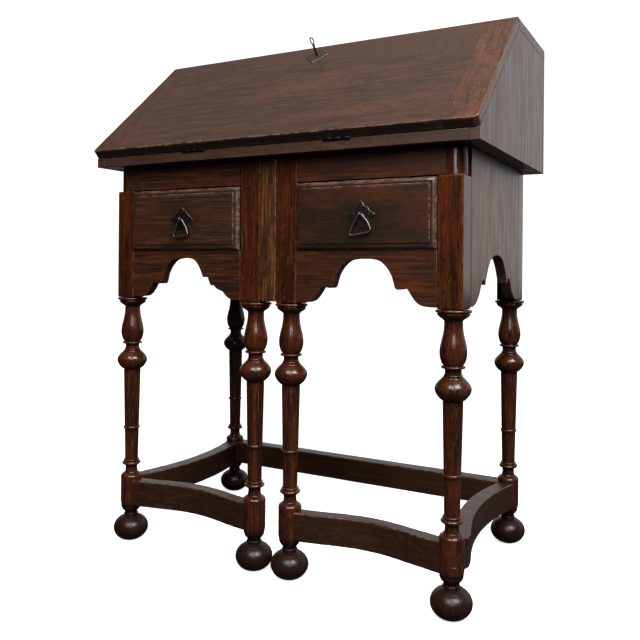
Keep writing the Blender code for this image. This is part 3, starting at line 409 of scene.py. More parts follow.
def outline_loops(corners, radius, insets, arc, run):
    """Outline pushed in by each inset. A corner is an arc of its radius less the inset, about the point where
    the pushed sides meet, and run points divide each side."""
    ahead = np.roll(corners, -1, axis=0) - corners
    ahead /= np.linalg.norm(ahead, axis=1, keepdims=True)
    after = np.stack([ahead[:, 1], -ahead[:, 0]], axis=1)
    before = np.roll(after, 1, axis=0)
    mitre = (after + before) / (1 + (after * before).sum(axis=1, keepdims=True))
    left = np.maximum(radius - insets[:, None], 2e-5 if arc > 1 else 0.0)[..., None]
    centre = corners - mitre * (insets[:, None, None] + left)
    share = np.linspace(0, 1, arc)[:, None]
    spoke = before[:, None] * (1 - share) + after[:, None] * share
    spoke /= np.linalg.norm(spoke, axis=-1, keepdims=True)
    arcs = centre[:, :, None] + left[:, :, None] * spoke
    t = np.linspace(0, 1, run + 2)[1:-1, None]
    sides = arcs[:, :, -1:] * (1 - t) + np.roll(arcs, -1, axis=1)[:, :, :1] * t
    return np.concatenate([arcs, sides], axis=2).reshape(len(insets), -1, 2)


def eased_edge(ease, margin):
    """(inset, depth, wear) from the flat of a face out over a rounded arris to the side of the board."""
    turn = np.radians([0, 22.5, 45, 67.5, 90])
    inset = np.concatenate([[ease + margin, ease + margin / 4], ease * (1 - np.sin(turn)), [0]])
    depth = np.concatenate([[0, 0], ease * (1 - np.cos(turn)), [ease + margin / 2]])
    return np.stack([inset, depth, [0, 0, 0.35, 1, 1, 1, 0.35, 0]], axis=1)


# About how far apart the worn places of an arris lie
EDGE_WAVE = 0.045


def board(corners, thick, origin, facing, seed, ease=0.0014, margin=0.004, radius=0.0, run=0, uneven=0.35,
          grain="across", front_edge=None, rubbed=1.0, tight=1.0, soiled=0.0):
    """Board cut to an outline: the edge section is carried round the outline on both faces, and its size
    wanders along the way as a worn arris does. The first face lies at origin and looks out as facing says.
    rubbed is how pale the side after each corner is, from wear and on some boards from painted light, tight
    is the share of the easing that it has, as where two boards join, soiled is how much painted shade darkens
    the flat of its edge, and wear below nought in the edge section is grime."""
    corners = np.asarray(corners, float)
    plain = eased_edge(ease, margin)
    plain[-1, 1] = min(plain[-1, 1], thick * 0.45)
    front = plain if front_edge is None else front_edge
    section = np.concatenate([front, plain[::-1]])
    radius = np.broadcast_to(radius, len(corners))
    arc = 5 if radius.max() > 0 else 1
    base = outline_loops(corners, radius, np.zeros(1), arc, run)[0]
    loops = outline_loops(corners, radius, section[:, 0], arc, run)
    step = np.linalg.norm(np.diff(base, axis=0, prepend=base[-1:]), axis=1)
    worn_and_lit, eased, edge_shade_share = [np.repeat(np.broadcast_to(share, len(corners)), arc + run)
                         for share in (rubbed, tight, soiled)]
    size = (1 + uneven * wander(np.cumsum(step), EDGE_WAVE, seed)) * eased
    flat = base + (loops - base) * size[:, None]
    depth = section[:, 1:2] * size
    depth[len(front):] = thick - depth[len(front):]
    across, up, out = axes(facing)
    points = np.asarray(origin) + flat[..., :1] * across + flat[..., 1:] * up - depth[..., None] * out
    shift = np.random.default_rng(seed).uniform(0, 9, 3)
    timber = np.concatenate([flat, depth[..., None]], axis=-1)
    timber = np.roll(timber, -("across", "up", "through").index(grain), axis=-1) + shift
    flat_edge = np.isin(np.arange(len(section)), (len(front) - 1, len(front)))
    wear = (section[:, 2:] * worn_and_lit - flat_edge[:, None] * edge_shade_share).ravel()
    return dict(points=points.reshape(-1, 3), faces=ring_faces(len(section), len(base)),
                grain=timber.reshape(-1, 3), wear=np.clip(wear, 0, 1), grime=np.clip(-wear, 0, 1))


# Half of each arch, outwards from the middle: places across and above the foot of the board. A run is
# smooth, and a corner lies where two runs meet. The left apron's right half was sawn by eye, in steps.
APRON_ARCH = (
    [(0, 0.0746), (0.015, 0.0742), (0.029, 0.0710), (0.041, 0.0608), (0.049, 0.0484), (0.053, 0.0365),
     (0.055, 0.0292)],
    [(0.055, 0.0292), (0.058, 0.0264), (0.063, 0.0260), (0.068, 0.0272), (0.073, 0.0288)],
    [(0.073, 0.0288), (0.077, 0.0264), (0.0826, 0.0178), (0.0894, 0.0088), (0.0967, 0.0032), (0.1057, 0.0007),
     (0.116, 0)],
)
STEPPED_ARCH = (
    [(0, 0.0746), (0.012, 0.0740), (0.023, 0.0702), (0.0348, 0.0581), (0.0397, 0.0476), (0.0426, 0.0415)],
    [(0.0426, 0.0415), (0.0524, 0.0408)],
    [(0.0524, 0.0408), (0.0555, 0.0330), (0.0587, 0.0270), (0.0615, 0.0250), (0.068, 0.0252)],
    [(0.068, 0.0252), (0.0725, 0.0205), (0.0774, 0.0174), (0.086, 0.0146)],
    [(0.086, 0.0146), (0.092, 0.0080), (0.1004, 0.0023), (0.1067, 0)],
)
PANEL_ARCH = (
    [(0, 0.083), (0.020, 0.0812), (0.0395, 0.074), (0.053, 0.062), (0.0615, 0.051), (0.067, 0.042),
     (0.072, 0.033)],
    [(0.072, 0.033), (0.078, 0.039), (0.0845, 0.042)],
    [(0.0845, 0.042), (0.091, 0.039), (0.0975, 0.031), (0.106, 0.0195), (0.115, 0.0115), (0.125, 0.005),
     (0.133, 0.002), (0.142, 0)],
)
# Narrow enough for the cusps, where a wider edge section would fold over itself
SAWN_EDGE = dict(ease=0.0010, margin=0.0002, uneven=0.2)


def smooth_run(knots, steps=4):
    """Catmull-Rom curve: between two knots a cubic that leaves each along the chord of its neighbours."""
    knots = np.asarray(knots, float)
    beyond = np.concatenate([[2 * knots[0] - knots[1]], knots, [2 * knots[-1] - knots[-2]]])
    a, b, c, d = (beyond[i:len(knots) - 1 + i, None] for i in range(4))
    t = np.linspace(0, 1, steps, endpoint=False)[:, None]
    square = a - 2.5 * b + 2 * c - d / 2
    cube = 1.5 * (b - c) + (d - a) / 2
    return (b + (c - a) / 2 * t + square * t ** 2 + cube * t ** 3).reshape(-1, 2)


def arched_outline(half_width, height, left_arch, right_arch):
    """Board about the middle of its foot, with half an arch from each list of runs."""
    left, right = (np.concatenate([smooth_run(run) for run in arch]
                                  + [[arch[-1][-1], (half_width, 0), (half_width, height)]])
                   for arch in (left_arch, right_arch))
    return np.concatenate([left[:0:-1] * (-1, 1), right])


# Red-brown, mottled dark, smooth under its wax
oak_stand = stained_oak("quartered_oak_red_brown_stain", ("1e0d07", "301a0e", "482816"), "4a1d0d", "6a4630",
                        gloss=0.27, mottle=0.35, relief=0.12)
for word, side in SIDES:
    node = f"{word}_gate_apron"
    low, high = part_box(node)
    right_arch = STEPPED_ARCH if word == "left" else APRON_ARCH
    outline = arched_outline((high.x - low.x) / 2, high.z - low.z, APRON_ARCH, right_arch)
    face = (middle_of(node)[0], low.y, low.z)
    piece(node, oak_stand, board(outline, high.y - low.y, face, "front", 30 + side, **SAWN_EDGE))

# The panel's front end is hollowed, so that the square post beside it can turn
SWING_RADIUS = 0.0295
# Grey-brown and quiet, with wide faded patches
oak_panel = stained_oak("quartered_oak_grey_brown_wax", ("38231a", "483128", "563d33"), "553023", "6a5446",
                        gloss=0.36, figure=0.010, relief=0.05, patch=0.06)
for word, side in SIDES:
    node = f"{word}_side_panel"
    low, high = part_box(node)
    outline = arched_outline((high.y - low.y) / 2, high.z - low.z, PANEL_ARCH, PANEL_ARCH)
    face = (high.x if side > 0 else low.x, middle_of(node)[1], low.z)
    shell = board(outline, high.x - low.x, face, word, 34 + side, grain="up", **SAWN_EDGE)
    post_x, post_y = leg_axes[f"{word}_gate_outer_leg"]
    hollow = post_y + np.sqrt(np.maximum(SWING_RADIUS ** 2 - (shell["points"][:, 0] - post_x) ** 2, 0))
    shell["points"][:, 1] = np.maximum(shell["points"][:, 1], hollow)
    piece(node, oak_panel, shell)

# Fixed rails, middle upright, back panel and runners
# Plain oak bars and boards, glued and pegged. The front rails are hollowed round the pivot pins, and the
# runners and the divider behind the drawers were left unpolished.
# Golden brown streaks, heavily mottled
oak_upright = stained_oak("oak_golden_brown_wax", ("26140a", "42240f", "60391a"), "2a1409", "7a5a38",
                          gloss=0.30, figure=0.006, mottle=0.7)
# Paler, dry and dull
oak_inside = stained_oak("bare_oak_darkened", ("3a281a", "5c4230", "745640"), "5a3d2a", "8a6b52", gloss=0.60)
# The hollow round a pin: its radius, its first angle, and how far the rail's face stops short of the axis
PIN_COVE, COVE_START, RAIL_SHORT = 0.0211, math.radians(249), 0.0075


def rectangle(width, height):
    """Corners of a rectangle about its middle."""
    return np.array([(-1, -1), (1, -1), (1, 1), (-1, 1)]) * (width / 2, height / 2)


def cuboid(low, high, facing, seed, **how):
    """Rectangular board between two corners."""
    low, high = np.asarray(low), np.asarray(high)
    width, height, thick = np.abs(np.array(axes(facing)) @ (high - low))
    origin = (low + high) / 2 + axes(facing)[2] * thick / 2
    how = {"radius": 0.0008, "run": 16, **how}
    return board(rectangle(width, height), thick, origin, facing, seed, **how)


def box_board(node, material, facing, seed, **how):
    """Piece that is one rectangular board and fills its CAD node's box."""
    return piece(node, material, cuboid(*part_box(node), facing, seed, **how))


box_board("centre_muntin", oak_upright, "front", 40, grain="up")
for word, side in SIDES:
    node = f"{word}_front_rail"
    low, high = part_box(node)
    pin_x, pin_y = leg_axes[f"{word}_gate_outer_leg"]
    turn = np.linspace(COVE_START, math.pi + math.asin((pin_y - high.y) / PIN_COVE), 9)
    cove = np.stack([side * PIN_COVE * np.cos(turn) + pin_x, PIN_COVE * np.sin(turn) + pin_y], axis=1)
    inner = low.x if side > 0 else high.x
    inner_end = [(inner, high.y), (inner, low.y), (pin_x - side * RAIL_SHORT, low.y)]
    plan = np.concatenate([inner_end, cove])[::side]
    shell = board(plan, high.z - low.z, (0, 0, high.z), "top", 42 + side, ease=0.0006, margin=0.0004)
    piece(node, oak_stand, shell)
    box_board(f"{word}_drawer_runner", oak_inside, word, 45 + side)
box_board("middle_drawer_runner", oak_inside, "top", 48, grain="up")
box_board("drawer_divider", oak_inside, "right", 49)
box_board("stand_back_panel", oak_panel, "back", 50)

# Stretchers
# Bars sawn from 49 mm oak, bowed inwards in plan and tenoned into the legs' barrels; the side ones are cut
# off behind the gates, with a rounded nose. Feet have rubbed their upper arrises round and pale.
STRETCHER_FOOT, STRETCHER_TOP = 0.0687, 0.1177
TENON = 0.010


def bowed_plan(start, end, thick, out, sag, levelled):
    """Plan of a bowed bar from leg axis to leg axis: one long edge there, the other back. Both sag to the
    left of the way from start to end, by a parabola mixed with a share of a cosine, which levels off at the
    ends. The ends stop short of the axes by the tenon's root."""
    start, end = np.asarray(start), np.asarray(end)
    length = np.linalg.norm(end - start)
    ahead = (end - start) / length
    aside = np.array([-ahead[1], ahead[0]])
    t = np.linspace(-1 + 2 * TENON / length, 1 - 2 * TENON / length, 30)[:, None]
    curve = (1 - t ** 2) * (1 - levelled) + (0.5 + 0.5 * np.cos(np.pi * t)) * levelled
    outer = (start + end) / 2 + ahead * t * length / 2 + aside * (sag * curve - out)
    return outer, (outer + aside * thick)[::-1]


def stretcher(node, edges, seed, **how):
    """Piece of a bar with the two edges of its plan."""
    origin = (0, 0, STRETCHER_TOP)
    shell = board(np.concatenate(edges), STRETCHER_TOP - STRETCHER_FOOT, origin, "top", seed, **how)
    return piece(node, oak_stretcher, shell)


# Very dark and rather dull, with pale scuffed arrises
oak_stretcher = stained_oak("oak_brown_scuffed_wax", ("1a0b05", "27130a", "371e10"), "36180a", "7c5f49",
                            gloss=0.36, polish=0.35)
for word, side in SIDES:
    ends = [leg_axes[f"{word}_gate_outer_leg"], leg_axes[f"{word}_gate_inner_leg"]][::-side]
    edges = bowed_plan(*ends, thick=0.024, out=0.015, sag=0.024, levelled=0.8)
    stretcher(f"{word}_gate_stretcher", edges, 52 + side, ease=0.0022, margin=0.003)

SIDE_SKEW = math.radians(2.6)
NOSE_LENGTH, NOSE_WIDTH, NOSE_CROWD = 0.042, 0.013, 2.2


def squared_off(edge, cut_y, nose):
    """The run of a bar's edge behind a cut across it. An edge with a nose is drawn in by its width as a
    quarter ellipse at the front, where its points crowd together."""
    rising = edge[np.argsort(edge[:, 1])]
    depth = cut_y + (rising[-1, 1] - cut_y) * np.linspace(0, 1, 44) ** (NOSE_CROWD if nose else 1)
    near = np.clip(1 - (depth - cut_y) / NOSE_LENGTH, 0, 1)
    run = np.interp(depth, rising[:, 1], rising[:, 0]) - nose * (1 - np.sqrt(1 - near ** 2))
    run = np.stack([run, depth], axis=1)
    return run if edge[-1, 1] > edge[0, 1] else run[::-1]


for word, side in SIDES:
    node = f"{word}_side_stretcher"
    front, back = leg_axes[f"{word}_gate_outer_leg"], leg_axes[f"back_{word}_leg"]
    lean = np.array([-side * math.sin(SIDE_SKEW), math.cos(SIDE_SKEW)]) * (back[1] - front[1]) / 2
    ends = ((front + back) / 2 - side * lean, (front + back) / 2 + side * lean)
    outer, inner = bowed_plan(*ends, thick=0.028, out=0.026, sag=0.033, levelled=0.0)
    cut_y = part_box(node)[0].y
    edges = squared_off(outer, cut_y, side * NOSE_WIDTH), squared_off(inner, cut_y, 0.0)
    stretcher(node, edges, 55 + side, ease=0.0018, margin=0.0004)
box_board("back_stretcher", oak_stretcher, "back", 58, ease=0.002)

# Iron pivot plates
# Flat straps of black iron, forged and never polished. They lie under the side stretchers, each with an eye
# that keeps the foot of its gate.
HAMMER_MARK, SCALE_GRAIN = 0.004, 0.0012


def black_iron(name, colour, bright, gloss):
    """Wrought iron, hammered and blackened: dark scale with a dull sheen, grey metal where hands rub it."""
    material, tree, shader = new_finish(name)
    place = add_node(tree, "TexCoord", {}, "Object")
    rubbed = add_node(tree, "Attribute", {}, "Fac", attribute_name="wear")
    hammer = add_node(tree, "TexNoise", {"Vector": place, "Scale": 1 / HAMMER_MARK, "Detail": 2.0})
    scale_skin = add_node(tree, "TexNoise", {"Vector": place, "Scale": 1 / SCALE_GRAIN, "Detail": 3.0})
    spread = {"Value": scale_skin, "From Min": 0.35, "From Max": 0.65}
    patches = add_node(tree, "MapRange", {**spread, "To Min": 0.15, "To Max": 1.0})
    share = add_node(tree, "Math", {0: rubbed, 1: patches}, operation="MULTIPLY")
    layers = {0: share, MIX_A: linear(colour), MIX_B: linear(bright)}
    feed(shader, {
        "Metallic": 1.0,
        "Base Color": add_node(tree, "Mix", layers, MIX_COLOUR, data_type="RGBA"),
        "Roughness": add_node(tree, "MapRange", {**spread, "To Min": gloss - 0.08, "To Max": gloss + 0.14}),
        "Normal": add_node(tree, "Bump", {"Height": hammer, "Strength": 0.35, "Distance": 0.0005}),
    })
    return material


# Black, with a dull sheen
iron_black = black_iron("wrought_iron_black_scale", "2a2523", "8b8784", 0.42)
for word in dict(SIDES):
    strap = frame["nodes"][f"{word}_pivot_plate"].data
    strap.materials.clear()
    strap.materials.append(iron_black)

# Tenon pegs and a nail
# Two oak pegs, their heads black with dirt, pin the apron's tenon in the right outer post. One old nail,
# cut off flush, shows in the right side panel.
HEAD_RISE, HEAD_SUNK = 0.0002, 0.0004
PEG_RADIUS, PEG_PLACES = 0.0024, ((0.319, 0.5527), (0.318, 0.503))
NAIL_RADIUS, NAIL_PLACE = 0.0018, (0.0203, 0.5766)


def nail_shell(origin, facing, radius, rise, seed):
    """Hammered nail head: a low dome out of a face, sunk a little into it."""
    fall = np.radians(np.linspace(80, 0, 7))
    height = np.concatenate([rise * np.sin(fall), [-HEAD_SUNK]])
    reach = np.concatenate([radius * np.cos(fall), [radius]])
    return turned_shell(origin, facing, height, reach, seed, full_turn(20))


post_face = leg_axes["right_gate_outer_leg"][1] - BLOCK_HALF
piece("right_gate_outer_leg", oak_feet,
      *[nail_shell((x, post_face, z), "front", PEG_RADIUS, HEAD_RISE, 36) for x, z in PEG_PLACES],
      name="right_gate_outer_leg_pegs")
piece("right_side_panel", iron_black,
      nail_shell((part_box("right_side_panel")[1].x, *NAIL_PLACE), "right", NAIL_RADIUS, HEAD_RISE, 37),
      name="right_side_panel_nail", slot="black_iron")

# Drawers
# A front of quartered oak with a moulding run round its edge, nailed to a plain tray of thin boards that
# slides on the runners. The moulding is a quarter round outside a step, pale with wear and with painted
# light, palest along the top and the right side, where the light falls.
DRAWER_TONES = {"left": ("20120a", "2f1c12", "3f271a"), "right": ("170d08", "21140c", "2d1b11")}
# The pulls' middle, where the dark bloom of grease and painted shadow centres
PULL_MIDDLE = (0.1825, 0.206, 0.617)
DRAWER_WALL = 0.009
# From the flat of the front out to its edge: (inset, depth, wear and painted light)
fall = np.radians(np.linspace(8, 86, 9))
moulding = np.concatenate([
    [(0.0140, 0, 0), (0.0104, 0, 0.2), (0.0099, 0.0001, 0.9), (0.0095, 0.0006, 1.0), (0.0092, 0.0016, 0.2)],
    [(0.0087, 0.0022, -0.8), (0.0078, 0.0022, -0.5)],
    np.stack([0.0074 * (1 - np.sin(fall)), 0.0018 + 0.0060 * (1 - np.cos(fall)), 0.7 * np.sin(fall)], axis=1),
    [(0, 0.0085, 0), (0, 0.0100, 0)],
])
for word, side in SIDES:
    # Fine figure with thinned red patches, pale along the moulding with wear and painted light, dark round
    # the pull with grease and painted shadow
    oak_drawer = stained_oak(f"quartered_oak_brown_wax_{word}", DRAWER_TONES[word], "45210f", "8a6c60",
                             gloss=0.30, figure=0.006, patchy=0.7, rub=0.65, relief=0.1, broad=0.25,
                             grease_and_shadow_centre=PULL_MIDDLE)
    # Shares run bottom, right, top, left: the top and right are paler as painted light from above and the right
    box_board(f"{word}_drawer_front", oak_drawer, "front", 60 + side, front_edge=moulding, uneven=0.02,
              radius=0.0, ease=0.0008, rubbed=(0.1, 0.8, 1.0, 0.3))
    tray = f"{word}_drawer_tray"
    low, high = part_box(tray)
    floor, left, right = low.z + DRAWER_WALL, low.x + DRAWER_WALL, high.x - DRAWER_WALL
    boards = (
        (low, (high.x, high.y, floor), "top", 62, "up"),
        ((low.x, low.y, floor), (left, high.y, high.z), "left", 65, "across"),
        ((right, low.y, floor), high, "right", 68, "across"),
        ((left, high.y - DRAWER_WALL, floor), (right, high.y, high.z), "back", 71, "across"),
    )
    piece(tray, oak_inside, *[cuboid(*ends, facing, seed + side, grain=grain, ease=0.0008, margin=0.002)
                              for *ends, facing, seed, grain in boards])

# Drawer pulls
# A lozenge of sheet iron nailed to each drawer, a staple of round wire through it, and a stirrup of bent wire
# that hangs in the staple. The outer edges and the grip shine from use.
PLATE_POINTS, PLATE_THICK, PLATE_GAP = 72, 0.0015, 0.0003
PLATE_EDGE = dict(ease=0.0005, margin=0.0004, uneven=0.1)
PULL_PLATE, PLATE_WAVE = (0.025, 0.0225), {"left": 0.03, "right": 0.13}
PLATE_NAIL, PLATE_NAIL_PLACES = (0.0019, 0.0011), ((0, 0.0128), (-0.0132, 0.0008), (0.0132, -0.0004))
# Half the depth and height of the staple's loop
STAPLE_DEPTH, STAPLE_HEIGHT, STAPLE_WIRE = 0.0046, 0.0034, 0.0012
BAIL_WIRE, BAIL_BOW, WIRE_SIDES = 0.0015, 0.0014, 14
# Use has bent the stirrups: (rise across the grip, spread of the sides)
BAIL_BEND = {"left": (0.09, 1.0), "right": (0.20, 1.14)}
joint_place = {joint["name"]: joint.get("pos_m") for joint in frame["joints"]}


def lozenge(half_width, half_height, wave):
    """Four-pointed plate: a straight lozenge in polar form, drawn in by a share on each half of a side."""
    a = full_turn(PLATE_POINTS)
    straight = half_width * half_height / (half_height * np.abs(np.cos(a)) + half_width * np.abs(np.sin(a)))
    reach = straight * (1 - wave * np.sin(4 * a) ** 2)
    return np.stack([reach * np.cos(a), reach * np.sin(a)], axis=1)


def oval(middle, wide, tall, count):
    """Points round an ellipse with two half axes, given as vectors."""
    turn = full_turn(count)[:, None]
    return np.asarray(middle) + np.cos(turn) * wide + np.sin(turn) * tall


def wire_shell(path, flat_normal, radius):
    """Round wire along a closed flat path: a circle about each point, square to the way along the path."""
    ahead = np.roll(path, -1, axis=0) - np.roll(path, 1, axis=0)
    ahead /= np.linalg.norm(ahead, axis=1, keepdims=True)
    normal = np.broadcast_to(np.asarray(flat_normal, float), path.shape)
    aside = np.cross(normal, ahead)
    a = full_turn(WIRE_SIDES)[:, None]
    points = path[:, None] + radius * (np.cos(a) * normal[:, None] + np.sin(a) * aside[:, None])
    points = points.reshape(-1, 3)
    return dict(points=points, faces=ring_faces(len(path), WIRE_SIDES, closed=True), grain=points,
                wear=np.full(len(points), 0.7), grime=np.zeros(len(points)))


# Half of a stirrup, from its apex in the staple down a leg, round the corner and along the grip
bail_leg = np.linspace((0.0050, -0.0050), (0.0148, -0.0238), 10)
bail_leg[:, 0] += BAIL_BOW * np.sin(np.linspace(0, np.pi, 10))
half_bail = np.concatenate([
    [(0.0, -0.0002), (0.0021, -0.0002), (0.0034, -0.0012), (0.0042, -0.0030)],
    bail_leg,
    [(0.0159, -0.0262), (0.0162, -0.0277), (0.0158, -0.0291), (0.0147, -0.0302), (0.0130, -0.0308)],
    np.linspace((0.0112, -0.0311), (0.0, -0.0313), 8),
])
bail_u, bail_v = np.concatenate([half_bail, (half_bail * (-1, 1))[-2:0:-1]]).T
# Black in the hollows, grey where fingers rub it
iron_pull = black_iron("wrought_iron_hand_rubbed", "332f2d", "8f8780", 0.42)
for word, side in SIDES:
    middle = middle_of(f"{word}_pull_plate")
    face = np.array([middle[0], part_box(f"{word}_drawer_front")[0].y - PLATE_GAP - PLATE_THICK, middle[2]])
    outline = lozenge(*PULL_PLATE, PLATE_WAVE[word])
    plate = board(outline, PLATE_THICK, face, "front", 80 + side, **PLATE_EDGE)
    nails = [nail_shell(face + (u, 0, v), "front", *PLATE_NAIL, 83) for u, v in PLATE_NAIL_PLACES]
    axle = np.array([face[0], joint_place[f"{word}_bail_lift"][1], face[2]])
    staple = oval(axle, np.array([0, STAPLE_DEPTH, 0]), np.array([0, 0, STAPLE_HEIGHT]), 24)
    piece(f"{word}_pull_plate", iron_pull, plate, *nails, wire_shell(staple, (1, 0, 0), STAPLE_WIRE))
    rise, spread = BAIL_BEND[word]
    path = axle + np.stack([bail_u * spread, np.zeros(len(bail_u)), bail_v + bail_u * rise], axis=1)
    piece(f"{word}_pull_bail", iron_pull, wire_shell(path, (0, -1, 0), BAIL_WIRE))

# Desk case
# A shallow oak case nailed up from 18 mm boards: sides with a sloping front edge, a top bevelled for the lid,
# a back, a bottom, and the front strip that carries the hinges.
LID_SLOPE, LID_THICK, GAP = math.radians(42), 0.0176, 0.0003
# Dark brown and even, with wide faded patches
oak_case = stained_oak("oak_case_dark_wax", ("2b1b14", "38261d", "453026"), "44271c", "7a6558",
                       gloss=0.34, figure=0.009, relief=0.06, patch=0.07)
for word, side in SIDES:
    node = f"desk_{word}_side"
    low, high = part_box(node)
    nose = low.z + LID_THICK
    slope_top = low.y + (high.z - nose) / math.tan(LID_SLOPE)
    outline = [(low.y, low.z), (high.y, low.z), (high.y, high.z), (slope_top, high.z), (low.y, nose)]
    outline = (np.array(outline) * (side, 1))[::side]
    edges = dict(rubbed=(0.4, 0.3, 0.3, 0.2, 0.0), tight=(0.6, 0.6, 0.6, 0.4, 0.2))
    if side < 0:
        edges = {kind: (*shares[3::-1], shares[4]) for kind, shares in edges.items()}
    face = (high.x if side > 0 else low.x, 0, 0)
    piece(node, oak_case, board(outline, high.x - low.x, face, word, 90 + side, run=12, grain="up", **edges))

lid_rise = (0, math.cos(LID_SLOPE), math.sin(LID_SLOPE))
FACING["lid"] = ((1, 0, 0), lid_rise)
FACING["lid_inside"] = ((-1, 0, 0), lid_rise)
lid_across, lid_up, lid_out = axes("lid")
hinge = np.array(joint_place["lid_fold"])
lid_length = (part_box("lid_board")[1].z - hinge[2] - LID_THICK * lid_out[2]) / lid_up[2]
# A cutter's edges stay square
BARE = dict(ease=0.0001, margin=0.0002, uneven=0, run=0)


def on_lid(x, up, out):
    """Point in the frame of the closed lid: along the hinge, up the slope, and out of its inner face."""
    return hinge + lid_across * x + lid_up * up + lid_out * out


def lid_box(x, up, out, facing, seed, **how):
    """Rectangular board between limits in the closed lid's frame, looking out of the lid or into the desk."""
    origin = on_lid(sum(x) / 2, sum(up) / 2, out[1] if facing == "lid" else out[0])
    corners = rectangle(x[1] - x[0], up[1] - up[0])
    return board(corners, out[1] - out[0], origin, facing, seed, **{"run": 16, **how})


def cut(made, *shells):
    """Take closed shells out of a piece, for a bore, a slot or a recess."""
    for shell in shells:
        mesh = bpy.data.meshes.new("cutter")
        mesh.from_pydata(shell["points"].tolist(), [], sum([block.tolist() for block in shell["faces"]], []))
        cutter = bpy.data.objects.new("cutter", mesh)
        bpy.context.scene.collection.objects.link(cutter)
        made.modifiers.new("cut", "BOOLEAN").object = cutter
        bpy.context.view_layer.update()
        graph = bpy.context.evaluated_depsgraph_get()
        solid = bpy.data.meshes.new_from_object(made.evaluated_get(graph), depsgraph=graph)
        made.modifiers.clear()
        made.data = solid
        bpy.data.objects.remove(cutter)
    made.data.shade_smooth()
    made.data.set_sharp_from_angle(angle=SHARP_EDGE)


low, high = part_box("desk_top")
stop = on_lid(0, lid_length + GAP, -GAP)
under = on_lid(0, (low.z - hinge[2] + GAP * lid_out[2]) / lid_up[2], -GAP)
crest = stop + lid_out * (high.z - stop[2]) / lid_out[2]
outline = [(under[1], low.z), (high.y, low.z), (high.y, high.z), (crest[1], high.z), stop[1:]]
shell = board(outline, high.x - low.x, (high.x, 0, 0), "right", 95, run=6, margin=0.003, grain="through")
desk_top = piece("desk_top", oak_case, shell)
# The slot that takes the bolt: half its width, its depth into the top, and its reach in and out
SLOT_HALF, SLOT_DEPTH, SLOT_REACH = 0.0095, 0.014, (-0.008, 0.002)
LOCK_TOP = lid_length - 0.0105
slot_up = (LOCK_TOP, LOCK_TOP + SLOT_DEPTH)
cut(desk_top, lid_box((-SLOT_HALF, SLOT_HALF), slot_up, SLOT_REACH, "lid", 96, **BARE))
box_board("desk_back", oak_case, "back", 93)
box_board("desk_bottom", oak_case, "top", 94)
front_strip = box_board("desk_front_strip", oak_case, "front", 97, radius=0.0004, rubbed=(0.3, 0, 0.3, 0),
                        tight=(0.6, 0.2, 0.6, 0.2))

# Pigeonholes
# One shelf across the back of the desk and three dividers housed under it. They are thin oak, planed and
# never polished.
pigeonholes = {"shelf": "top", "left_divider": "right", "middle_divider": "right", "right_divider": "right"}
for seed, (word, facing) in enumerate(pigeonholes.items(), 100):
    box_board(f"pigeonhole_{word}", oak_inside, facing, seed, ease=0.0008, margin=0.002)

# Lid
# The fall is a wide oak board with a cleat across each end, which keeps it flat. Its lower arris is rubbed
# bright, its lower edge face is dark with painted shade, the corners of the right cleat are worn round, and
# ray figure shows in it.
# Brown with wide patches and mottling, pale where its arrises are rubbed
oak_lid = stained_oak("oak_lid_brown_wax", ("2a1910", "352217", "432a1c"), "4b2b1e", "957664",
                      gloss=0.34, figure=0.010, patchy=0.7, rub=0.55, mottle=0.4, relief=0.1, patch=0.08)
# Warmer than the lid, with pale flecks of ray figure
oak_cleat = stained_oak("quartered_oak_lid_end_wax", ("2a180f", "352115", "442a18"), "5a3219", "94683c",
                        gloss=0.36, figure=0.006, patchy=0.7, fleck=0.25, mottle=0.3, relief=0.1)
CRISP = 0.0004


def lid_plank(node, oak, seed, radius, **how):
    """Piece of the lid from its lower to its upper edge, as wide as its CAD node."""
    low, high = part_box(node)
    # The lower edge face is darkened with painted shade
    shell = lid_box((low.x, high.x), (0, lid_length), (0, LID_THICK), "lid", seed, ease=0.0018, margin=0.006,
                    radius=radius, run=30, soiled=(1, 0, 0, 0), **how)
    return piece(node, oak, shell)


lid_board = lid_plank("lid_board", oak_lid, 110, CRISP, grain="across", rubbed=(0.6, 0, 0.2, 0),
                      tight=(1, 0.15, 0.5, 0.15))
lid_plank("lid_left_cleat", oak_lid, 111, (0.004, CRISP, CRISP, 0.003), grain="up",
          rubbed=(0.6, 0, 0.2, 0.3), tight=(1, 0.15, 0.5, 0.8))
lid_plank("lid_right_cleat", oak_cleat, 112, (CRISP, 0.008, 0.004, CRISP), grain="up",
          rubbed=(0.8, 0.5, 0.2, 0), tight=(1, 0.8, 0.5, 0.15))

# Hinges
# Two iron butt hinges let into the strip and the lid: the desk leaf has two knuckles and the pin, the lid
# leaf the middle knuckle. Three screws hold each leaf.
KNUCKLE, MIDDLE_KNUCKLE = 0.0030, 0.016
HINGE_LEAF, LEAF_START, LEAF_THICK = 0.030, KNUCKLE + 0.001, 0.0018
TAB_START, TAB_END = KNUCKLE / 2, 2 * KNUCKLE
SCREW_RADIUS, SCREW_RISE, SCREW_UP, SCREW_STEP = 0.0028, 0.0002, 0.018, 0.016
# The cuts for a hinge: clearance round the knuckles, start up the lid, and reach past the wood's face
GROOVE_CLEAR, RECESS_START, CUT_PAST = 0.0005, 0.0005, 0.003
LEAF_EDGE = dict(ease=0.0004, margin=0.001, radius=0.0015)
TAB_EDGE = dict(ease=0.0003, margin=0.0006, run=2)
even_round = full_turn(28)


def knuckle(start, end, seed):
    """Rolled knuckle along the hinge line, with its ends filed round."""
    ends = np.array([0, 0.0002, 0.0008])
    height = np.concatenate([start + ends, end - ends[::-1]])[::-1]
    filed = KNUCKLE - np.array([0.0009, 0.0003, 0])
    reach = np.concatenate([filed, filed[::-1]])
    return turned_shell((0, *hinge[1:]), "right", height, reach, seed, even_round)


